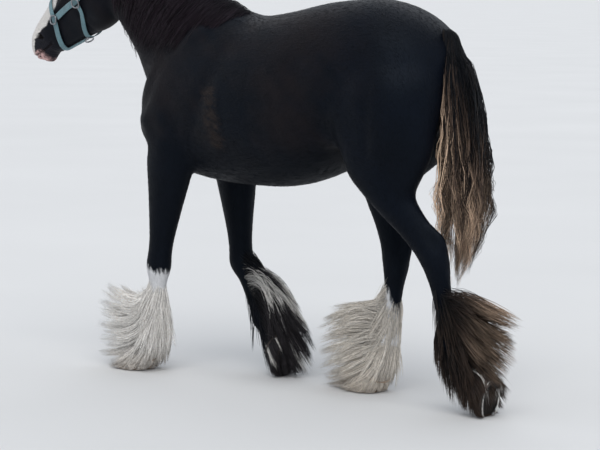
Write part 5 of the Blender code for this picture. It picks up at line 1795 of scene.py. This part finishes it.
def rings_mesh(rings, ends=True):
    """Points and triangles of a closed skin over rings of points."""
    rings = np.array(rings, float)
    count, around = rings.shape[:2]
    grid = np.arange(count * around).reshape(count, around)
    after = np.roll(grid, -1, axis=1)
    quads = np.stack([grid[:-1], after[:-1], after[1:], grid[1:]], axis=2).reshape(-1, 4)
    triangles = [quads[:, (0, 1, 2)], quads[:, (0, 2, 3)]]
    points = rings.reshape(-1, 3)
    if ends:
        tips = np.array([rings[0].mean(axis=0), rings[-1].mean(axis=0)])
        first = np.full(around, len(points))
        triangles.append(np.column_stack([after[0], grid[0], first]))
        triangles.append(np.column_stack([grid[-1], after[-1], first + 1]))
        points = np.vstack([points, tips])
    else:
        wrap = np.stack([grid[-1], after[-1], after[0], grid[0]], axis=1)
        triangles += [wrap[:, (0, 1, 2)], wrap[:, (0, 2, 3)]]
    return points, np.vstack(triangles)


def hoof_outline(angle, share, shrink=1.0, lift=0.0):
    """Points of the hoof's outline in its own frame, at a share of the way up from the sole."""
    forward, across = np.cos(angle), np.sin(angle)
    share, shrink = (np.broadcast_to(v, angle.shape)[:, None] for v in (share, shrink))
    slant = 1 / math.tan(TOE_ANGLE)
    rise = share[:, 0] * (HEEL_HEIGHT + (TOE_HEIGHT - HEEL_HEIGHT) * (forward + 1) / 2)
    wide = HOOF_WIDTH / 2 * (1 - 0.06 * forward) * (1 - 0.14 * share[:, 0])
    length = HOOF_LENGTH / 2 * forward - rise * slant
    spots = np.column_stack([length, wide * signed_power(across, 0.85), rise])
    centre = np.array(hoof_coronet()) * share
    centre[:, 2] = spots[:, 2]
    return centre + (spots - centre) * shrink + np.array((0, 0, lift))


def hoof_object(name, place, tone, material):
    """A hoof wall with growth rings, over a hollowed sole."""
    angle = turn(56)
    rings = [hoof_outline(angle, 0.0, *ring) for ring in SOLE_RINGS]
    for share in np.linspace(0.02, 0.94, 24):
        growth = 1 + 0.006 * math.sin(share * 44) + 0.004 * math.sin(share * 21 + 1)
        rings.append(hoof_outline(angle, share, growth * (0.975 if share < 0.03 else 0.992)))
    rings += [hoof_outline(angle, 0.965, 0.965), hoof_outline(angle, 0.985, 0.92)]
    points, triangles = rings_mesh(rings)
    points = moved(points, place)
    points[:, 2] = np.maximum(points[:, 2], 0.0)
    colours = np.tile(tone, (len(points), 1)) * (1 + 0.25 * ripples(points, 0.05, 41))[:, None]
    # The sole is painted dark: painted shade under the hoof
    colours[:4 * len(angle)] *= 0.12
    made = mesh_object(f"{name}_hoof_wall", points, triangles, material, colours)
    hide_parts(f"{name}_hoof")


def eye_object(side, label, material):
    """A dark eyeball with a level oval pupil."""
    out, corner, up = eye_axes()
    rings = []
    tilt = np.linspace(0.02, math.pi - 0.02, 48)
    angle = turn(64)
    axes = np.array(head_axes())
    for t in tilt:
        swell = 1 + 0.045 * step(0.75, 0.2, t)
        ring = np.outer(np.cos(t) * np.ones(64), out) + np.outer(np.sin(t) * np.cos(angle), corner)
        ring += np.outer(np.sin(t) * np.sin(angle), up)
        rings.append(ring * swell)
    local, triangles = rings_mesh(rings)
    look = unit(local)
    a, b, front = look @ corner, look @ up, look @ out
    pupil = step(1.15, 0.9, np.hypot(a / 0.42, b / 0.24)) * (front > 0)
    iris = step(0.66, 0.58, np.hypot(a, b)) * (front > 0)
    colours = np.tile(EYE_WHITE, (len(local), 1))
    rays = 1 + 0.25 * np.sin(np.arctan2(b, a) * 37) * iris
    colours = mixed(colours, IRIS, iris) * rays[:, None]
    colours = mixed(colours, PUPIL, pupil)
    head = (np.array(EYE_AT) + local * EYE_RADIUS * 0.955) * np.array((1, side, 1))
    points = np.array(POLL) + head @ axes
    if side < 0:
        triangles = triangles[:, ::-1]
    made = mesh_object(f"{label}_eyeball", points, triangles, material, colours)
    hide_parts(f"{label}_eye")


def strap_rows(tree, path, closed, width):
    """Middle, sideways and outward direction at each step of a strap that lies on the head."""
    found = [on_head(tree, along, degrees) for along, degrees in path]
    middles = np.array([in_head(along, 0, HEAD_MIDDLE) for along, _ in path])
    points = tightened([p for p, _ in found], middles, closed)
    outs = np.array([out for _, out in found])
    if closed:
        tangents = np.roll(points, -1, axis=0) - np.roll(points, 1, axis=0)
    else:
        tangents = np.gradient(points, axis=0)
    rows = []
    for point, tangent, out in zip(points, tangents, outs):
        wide = unit(np.cross(tangent, out))
        out = unit(np.cross(wide, tangent))
        edges = []
        for edge in (-wide * width / 2, wide * width / 2):
            start = Vector(point + edge + out * EDGE_REACH)
            hit, _, _, far = tree.ray_cast(start, Vector(-out), 1.5 * EDGE_REACH)
            edges.append(EDGE_REACH - far if hit else -0.01)
        tilt = np.clip((edges[1] - edges[0]) / 2, -0.006, 0.006)
        rise = max(0.0, (edges[0] + edges[1]) / 2) + STRAP_LIFT
        wide = unit(wide * width / 2 + out * tilt)
        rows.append((point + out * rise, wide, unit(np.cross(wide, tangent))))
    return rows


def strap_object(name, tree, path, material, closed=False, width=WEB_WIDTH):
    """Flat webbing with rounded edges, and a weave that runs along it."""
    rows = strap_rows(tree, path, closed, width)
    middles = np.array([r[0] for r in rows])
    sides = np.array([r[1] for r in rows])
    outs = np.array([r[2] for r in rows])
    away = middles - np.array(in_head(0.25, 0, HEAD_MIDDLE))
    outs = np.where((away * outs).sum(axis=1)[:, None] > 0, outs, -outs)
    for _ in range(3):
        for values in (middles, sides, outs):
            mean = (np.roll(values, 1, axis=0) + np.roll(values, -1, axis=0)) / 2
            if not closed:
                mean[[0, -1]] = values[[0, -1]]
            values += 0.5 * (mean - values)
    sides, outs = unit(sides), unit(outs)
    profile = []
    for t in turn(STRAP_POINTS):
        profile.append((signed_power(math.cos(t), 0.35) * width / 2,
                        (signed_power(math.sin(t), 0.55) + 1) * WEB_THICKNESS / 2 * 0.9))
    rings = [[m + s * across + o * rise for across, rise in profile] for m, s, o in zip(middles, sides, outs)]
    points, triangles = rings_mesh(rings, ends=not closed)
    made = mesh_object(f"{name}_web", points, triangles, material)
    run = np.concatenate([[0], np.cumsum(np.linalg.norm(np.diff(middles, axis=0), axis=1))])
    across = np.array([p[0] for p in profile])
    places = np.column_stack([np.tile(across, len(rings)), np.repeat(run, STRAP_POINTS)])
    if not closed:
        places = np.vstack([places, (0, run[0]), (0, run[-1])])
    add_map(made, places, "Weave")
    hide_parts(name)
    return middles, sides, outs


def ring_object(name, tree, at, material, square=0.0):
    """A wire ring lying on the webbing."""
    spot, out = on_head(tree, *at)
    clear = STRAP_LIFT + WEB_THICKNESS + WIRE_RADIUS + RING_LIFT
    turned = out.to_track_quat("Z", "Y").to_matrix().to_4x4()
    place = Matrix.Translation(spot + out * clear) @ turned
    power = 1 - 0.5 * square
    rings = []
    for angle in turn(48):
        flat = np.array((signed_power(math.cos(angle), power), signed_power(math.sin(angle), power), 0))
        axis = unit(np.array((math.cos(angle), math.sin(angle), 0)))
        rings.append([flat * RING_RADIUS + (axis * math.cos(t) + UPRIGHT * math.sin(t)) * WIRE_RADIUS
                      for t in turn(12)])
    points, triangles = rings_mesh(rings, ends=False)
    points = moved(points, place)
    made = mesh_object(f"{name}_wire", points, triangles, material)
    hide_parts(name)


# Materials

class Looks:
    """A Principled material and what its nodes need."""

    def __init__(self, name, roughness, **sockets):
        self.material = bpy.data.materials.new(name)
        self.material.use_nodes = True
        self.nodes = self.material.node_tree.nodes
        self.links = self.material.node_tree.links
        self.shader = self.nodes["Principled BSDF"]
        self.shader.inputs["Roughness"].default_value = roughness
        for label, value in sockets.items():
            self.shader.inputs[label.replace("_", " ")].default_value = value

    def node(self, kind, **settings):
        made = self.nodes.new(kind)
        for label, value in settings.items():
            setattr(made, label, value)
        return made

    def attribute(self, name):
        made = self.node("ShaderNodeAttribute", attribute_type="GEOMETRY", attribute_name=name)
        return made.outputs["Color"]

    def noise(self, scale, detail=3.0, stretch=(1, 1, 1), turned=(0, 0, 0)):
        mapping = self.node("ShaderNodeMapping")
        mapping.inputs["Scale"].default_value = stretch
        mapping.inputs["Rotation"].default_value = turned
        place = self.node("ShaderNodeTexCoord").outputs["Object"]
        self.links.new(place, mapping.inputs["Vector"])
        texture = self.node("ShaderNodeTexNoise")
        texture.inputs["Scale"].default_value = scale
        texture.inputs["Detail"].default_value = detail
        self.links.new(mapping.outputs["Vector"], texture.inputs["Vector"])
        return texture.outputs["Fac"]

    def scaled(self, value, low, high):
        """Brings a value of about 0.3 to 0.7 to the range low to high."""
        made = self.node("ShaderNodeMapRange")
        made.inputs["From Min"].default_value = 0.3
        made.inputs["From Max"].default_value = 0.7
        made.inputs["To Min"].default_value = low
        made.inputs["To Max"].default_value = high
        self.links.new(value, made.inputs["Value"])
        return made.outputs["Result"]

    def between(self, a, b, share):
        made = self.node("ShaderNodeMix", data_type="FLOAT")
        self.links.new(share, made.inputs[0])
        self.links.new(a, made.inputs[2])
        self.links.new(b, made.inputs[3])
        return made.outputs[0]

    def blend(self, dark, light, share):
        """A colour between the two."""
        made = self.node("ShaderNodeMix", data_type="RGBA")
        made.inputs[6].default_value = (*dark, 1)
        made.inputs[7].default_value = (*light, 1)
        self.links.new(share, made.inputs[0])
        return made.outputs[2]

    def times(self, colour, value):
        """The colour, made lighter or darker by the value."""
        made = self.node("ShaderNodeVectorMath", operation="SCALE")
        self.links.new(colour, made.inputs[0])
        self.links.new(value, made.inputs["Scale"])
        return made.outputs[0]

    def bump(self, height, strength, distance):
        made = self.node("ShaderNodeBump")
        made.inputs["Strength"].default_value = strength
        made.inputs["Distance"].default_value = distance
        self.links.new(height, made.inputs["Height"])
        self.links.new(made.outputs["Normal"], self.shader.inputs["Normal"])

    def finish(self, colour, roughness=None):
        self.links.new(colour, self.shader.inputs["Base Color"])
        if roughness:
            self.links.new(roughness, self.shader.inputs["Roughness"])
        return self.material


def skin_material():
    looks = Looks("coat_skin", 0.5, Specular_IOR_Level=0.10, Specular_Tint=COOL)
    parts = looks.node("ShaderNodeSeparateColor")
    looks.links.new(looks.attribute("lie"), parts.inputs[0])
    along = looks.noise(1.0, 4.0, (40, 420, 420))
    down = looks.noise(1.0, 4.0, (420, 420, 40))
    face = looks.noise(1.0, 4.0, (60, 500, 500), (0, HEAD_SLOPE, 0))
    grain = looks.between(looks.between(along, down, parts.outputs[0]), face, parts.outputs[1])
    looks.bump(grain, 0.35, 0.0016)
    colour = looks.times(looks.attribute("markings"), looks.scaled(grain, 0.84, 1.18))
    colour = looks.times(colour, looks.scaled(looks.noise(9.0, 3.0), 0.86, 1.16))
    return looks.finish(colour, looks.scaled(grain, 0.62, 0.42))


def hair_material(name, roughness, sheen):
    looks = Looks(name, roughness, Sheen_Weight=sheen, Specular_IOR_Level=0.10, Specular_Tint=COOL)
    colour = looks.times(looks.attribute("markings"), looks.scaled(looks.noise(140.0, 3.0), 0.82, 1.2))
    looks.bump(looks.noise(700.0, 2.0), 0.25, 0.0006)
    return looks.finish(colour)


def horn_material():
    looks = Looks("horn", 0.55, Specular_IOR_Level=0.25)
    streaks = looks.noise(1.0, 4.0, (60, 60, 14))
    looks.bump(streaks, 0.2, 0.0006)
    return looks.finish(looks.times(looks.attribute("markings"), looks.scaled(streaks, 0.75, 1.25)))


def eye_material():
    looks = Looks("eye", 0.10, Specular_IOR_Level=0.12)
    uneven = looks.scaled(looks.noise(260.0, 3.0), 0.8, 1.2)
    return looks.finish(looks.times(looks.attribute("markings"), uneven))


def webbing_material():
    looks = Looks("webbing", 0.75, Sheen_Weight=0.25)
    place = looks.node("ShaderNodeUVMap", uv_map="Weave").outputs["UV"]
    height = None
    for degrees in (38, -38):
        mapping = looks.node("ShaderNodeMapping")
        mapping.inputs["Rotation"].default_value = (0, 0, math.radians(degrees))
        looks.links.new(place, mapping.inputs["Vector"])
        wave = looks.node("ShaderNodeTexWave", wave_type="BANDS")
        wave.inputs["Scale"].default_value = 130.0
        wave.inputs["Distortion"].default_value = 0.4
        looks.links.new(mapping.outputs["Vector"], wave.inputs["Vector"])
        if height is None:
            height = wave.outputs["Fac"]
        else:
            both = looks.node("ShaderNodeMath", operation="MULTIPLY")
            looks.links.new(height, both.inputs[0])
            looks.links.new(wave.outputs["Fac"], both.inputs[1])
            height = both.outputs[0]
    looks.bump(height, 0.8, 0.0012)
    # Painted shade: the weave is darker where it is low and lighter where it is raised
    weave_shade = looks.blend(WEB_SHADED, WEB_LIT, looks.scaled(height, 0.1, 1.0))
    return looks.finish(looks.times(weave_shade, looks.scaled(looks.noise(22.0, 4.0), 0.8, 1.12)))


def metal_material():
    looks = Looks("metal", 0.3, Metallic=1.0)
    worn = looks.noise(90.0, 4.0)
    looks.bump(worn, 0.12, 0.0006)
    return looks.finish(looks.blend(METAL_DARK, METAL_LIGHT, worn), looks.scaled(worn, 0.25, 0.5))


# Stage

def floor_object():
    mesh = bpy.data.meshes.new("floor")
    corners = [(x * FLOOR_REACH, y * FLOOR_REACH, 0) for x, y in ((-1, -1), (1, -1), (1, 1), (-1, 1))]
    mesh.from_pydata(corners, [], [(0, 1, 2, 3)])
    looks = Looks("floor", 0.85)
    mesh.materials.append(looks.finish(looks.blend(FLOOR_DARK, FLOOR_LIGHT, looks.noise(0.6, 2.0))))
    placed("floor", mesh)


def lamp(name, towards, spread, strength, colour):
    """Even light from one side, as soft as spread is wide."""
    light = bpy.data.lights.new(name, "SUN")
    light.angle = math.radians(spread)
    light.energy = strength
    light.color = colour
    made = placed(name, light)
    made.rotation_mode = "QUATERNION"
    made.rotation_quaternion = Vector(towards).to_track_quat("-Z", "Y")


def studio():
    world = bpy.data.worlds.new("studio")
    world.use_nodes = True
    sky = world.node_tree.nodes["Background"]
    sky.inputs["Color"].default_value = (*SKY, 1)
    sky.inputs["Strength"].default_value = SKY_STRENGTH
    bpy.context.scene.world = world
    for name, values in LAMPS.items():
        lamp(name, *values)
    bpy.context.scene.view_settings.view_transform = "Standard"


def camera():
    """The photograph's view, from the near side and a little behind."""
    round_by, drop_by = math.radians(VIEW_ROUND), math.atan(VIEW_BELOW / CAMERA_FOCUS)
    back = Vector((math.sin(round_by), -math.cos(round_by), 0))
    turned = math.atan(VIEW_ASIDE / CAMERA_FOCUS * math.cos(drop_by))
    forward = Matrix.Rotation(turned, 3, "Z") @ -back
    right = forward.cross(Vector((0, 0, 1)))
    forward = forward * math.cos(drop_by) - Vector((0, 0, 1)) * math.sin(drop_by)
    up = right.cross(forward)
    cosine, sine = math.cos(math.radians(VIEW_ROLL)), math.sin(math.radians(VIEW_ROLL))
    right, up = right * cosine + up * sine, up * cosine - right * sine
    data = bpy.data.cameras.new("camera")
    data.sensor_width = SENSOR_WIDTH
    data.lens = SENSOR_WIDTH * CAMERA_FOCUS / VIEW_WIDTH
    data.clip_end = FAR_END
    made = placed("camera", data)
    turned_to = Matrix((right, up, -forward)).transposed().to_4x4()
    stand = back * VIEW_AWAY + Vector((0, 0, VIEW_HEIGHT)) + SHIFT
    made.matrix_world = Matrix.Translation(stand) @ turned_to
    bpy.context.scene.camera = made


# The horse

def whole_skin():
    """The skin with its ears: points, triangles, normals, and the masks of what isn't furred."""
    points, triangles = skin_form()
    points = muscles(points, triangles)
    points = tucked(points)
    points, masks = sculpted(points, triangles)
    body_count = len(points)
    ear_depths = []
    for side in (1, -1):
        ear_points, ear_triangles, hollow = ear_form(side)
        triangles = np.vstack([triangles, ear_triangles + len(points)])
        points = np.vstack([points, ear_points])
        ear_depths.append(hollow)
    masks = np.vstack([masks, np.zeros((len(points) - body_count, 3))])
    hollow = np.concatenate([np.zeros(body_count)] + ear_depths)
    return points, triangles, normals_of(points, triangles), masks, hollow, body_count


def skin_object(points, triangles, masks, hollow, material):
    colours = markings(points)
    # Painted shade darkens the nostril hollows and the line between the lips; the eye sockets get bare skin
    for k, share in enumerate((1.0, 1.0, 0.7)):
        colours = mixed(colours, BARE_SKIN_AND_SHADE, share * masks[:, k])
    colours = mixed(colours, EAR_LINING, 0.8 * hollow)
    lie = np.column_stack([step(0.86, 0.66, points[:, 2]), head_share(points), np.zeros(len(points))])
    made = mesh_object("skin", points, triangles, material, colours, lie)
    nodes = ["head", "neck", "trunk", "near_ear", "off_ear"]
    nodes += [f"{leg_name}_{end}" for leg_name in LEGS for end in ("leg", "shank")]
    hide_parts(*nodes)


def tuft_weight(places):
    """How thickly the tufts stand: most on the face and the lower legs."""
    return 1.0 + 1.6 * head_share(places) + 1.2 * step(0.62, 0.40, places[:, 2])


def furred(roots):
    """Which roots stand on fur: not on the eyes, nostrils, lips, ears or hooves."""
    head = head_frame(roots)
    mirrored_head = np.column_stack([head[:, 0], np.abs(head[:, 1]), head[:, 2]])
    near_eye = np.linalg.norm(mirrored_head - np.array(EYE_AT), axis=1) < EYE_RADIUS * 1.25
    near_nostril = np.linalg.norm(mirrored_head - np.array(NOSTRIL), axis=1) < 0.026
    lips = (head[:, 0] > 0.49) & (np.abs(head[:, 2] - np.interp(head[:, 0], *MOUTH_LINE)) < 0.012)
    keep = ~((near_eye | near_nostril | lips) & (head_share(roots) > 0.5))
    keep &= ~((head[:, 2] > EAR_FOOT) & (np.abs(head[:, 0]) < 0.12))
    for name, mask in leg_masks(roots).items():
        centre, normal = (np.array(v) for v in coronet_plane(PLACES[name]))
        keep &= ~(mask & ((roots - centre) @ normal < 0.002))
    return keep


def short_coat(tree, points, triangles, normals, material):
    """Tufts over the whole skin, finest on the face and feet."""
    roots, out = spread(points, triangles, normals, tuft_weight, TUFTS)
    keep = furred(roots)
    roots, out = roots[keep], out[keep]
    y, z = roots[:, 1], roots[:, 2]
    count = len(roots)
    face = head_share(roots)
    low = step(0.62, 0.42, z)
    longer = near_line(roots, SHOULDER_STREAK, 0.05) * (y < 0)
    belly = step(-0.3, -0.8, out[:, 2]) * step(0.6, 0.7, z) * (1 - face)
    lengths = TUFT_LENGTH * (1 - 0.50 * face) * (1 - 0.40 * low) * (1 + 0.9 * longer + 0.5 * belly)
    lengths = lengths * DRAW.uniform(0.7, 1.3, count)
    widths = TUFT_WIDTH * (1 - 0.25 * face) * (1 - 0.20 * low) * DRAW.uniform(0.7, 1.3, count)
    rise = TUFT_RISE * (1 - 0.60 * face) * (1 - 0.25 * low) * (1 + 0.8 * longer + 0.6 * belly)
    rise = rise * DRAW.uniform(0.5, 1.6, count)
    colours = markings(roots) * DRAW.uniform(0.90, 1.10, (count, 1))
    for made in tufts("short_coat", roots, out, lengths, widths, rise, tree, colours, material):
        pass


def headcollar(tree, web, metal):
    strap_object("noseband", tree, mirrored(NOSEBAND, 8)[:-1], web, closed=True)
    strap_object("headpiece", tree, mirrored(HEADPIECE, 8), web)
    strap_object("throat_strap", tree, mirrored(THROAT_STRAP, 8), web, width=NARROW_WIDTH)
    strap_object("jaw_strap", tree, [tuple(r) for r in through(JAW_STRAP, 8)], web, width=NARROW_WIDTH)
    ring_object("jaw_ring", tree, JAW_RING_AT, metal)
    for label, sign in (("near", 1), ("off", -1)):
        for name, (along, degrees) in (("nose_ring", NOSE_RING_AT), ("cheek_ring", CHEEK_RING_AT)):
            ring_object(f"{label}_{name}", tree, (along, sign * degrees), metal, square=0.6)


def main():
    skin_looks, coat_looks = skin_material(), hair_material("short_coat", 0.5, 0.02)
    dark, pale = hair_material("dark_hair", 0.42, 0.04), hair_material("pale_hair", 0.5, 0.1)
    horn, web, metal = horn_material(), webbing_material(), metal_material()
    points, triangles, normals, masks, hollow, body_count = whole_skin()
    skin_object(points, triangles, masks, hollow, skin_looks)
    tree = tree_of(points, triangles)
    short_coat(tree, points, triangles, normals, coat_looks)
    hair = {"dark_hair": dark, "pale_hair": pale}
    for name, (fan, skirt, shaft, heel, colour, slot) in FEATHERS.items():
        add_feather(tree, name, fan, skirt, shaft, heel, colour, hair[slot])
    tail_hair(dark)
    mane_hair(dark)
    forelock_hair(dark)
    for name, place in PLACES.items():
        hoof_object(name, place, PALE_HORN if name in PALE_HOOVES else DARK_HORN, horn)
    eye = eye_material()
    eye_object(1, "near", eye)
    eye_object(-1, "off", eye)
    earless = triangles[triangles.max(axis=1) < body_count]
    headcollar(tree_of(points + normals * COAT_DEPTH, earless), web, metal)
    floor_object()
    studio()
    camera()


# For each leg: the fan and its number of locks, those over the hoof and how far down they reach,
# the short ones on the cannon bone with the height that they begin at and how far they sweep,
# those at the heel, the colours and the slot
FEATHERS = {
    "near_fore": ((NEAR_FORE_FAN, 3200), (900, 0.10), (500, 0.34, -0.25), 0, white_feather, "pale_hair"),
    "off_hind": ((OFF_HIND_FAN, 3200), (900, 0.10), (600, 0.36, -0.45), 0, cream_feather, "pale_hair"),
    "off_fore": ((OFF_FORE_FAN, 2800), (1000, 0.40), (260, 0.33, 0.45), 80, silver_feather, "dark_hair"),
    "near_hind": ((NEAR_HIND_FAN, 3200), (1100, 0.40), (700, 0.44, 0.35), 260, brown_feather, "dark_hair"),
}
EYE_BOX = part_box("near_eye")
SHIFT = (EYE_BOX[0] + EYE_BOX[1]) / 2 - in_head(*EYE_AT)
PLACES = {name: hoof_place(joints, HOOF_TIP[name]) for name, joints in LEGS.items()}

main()
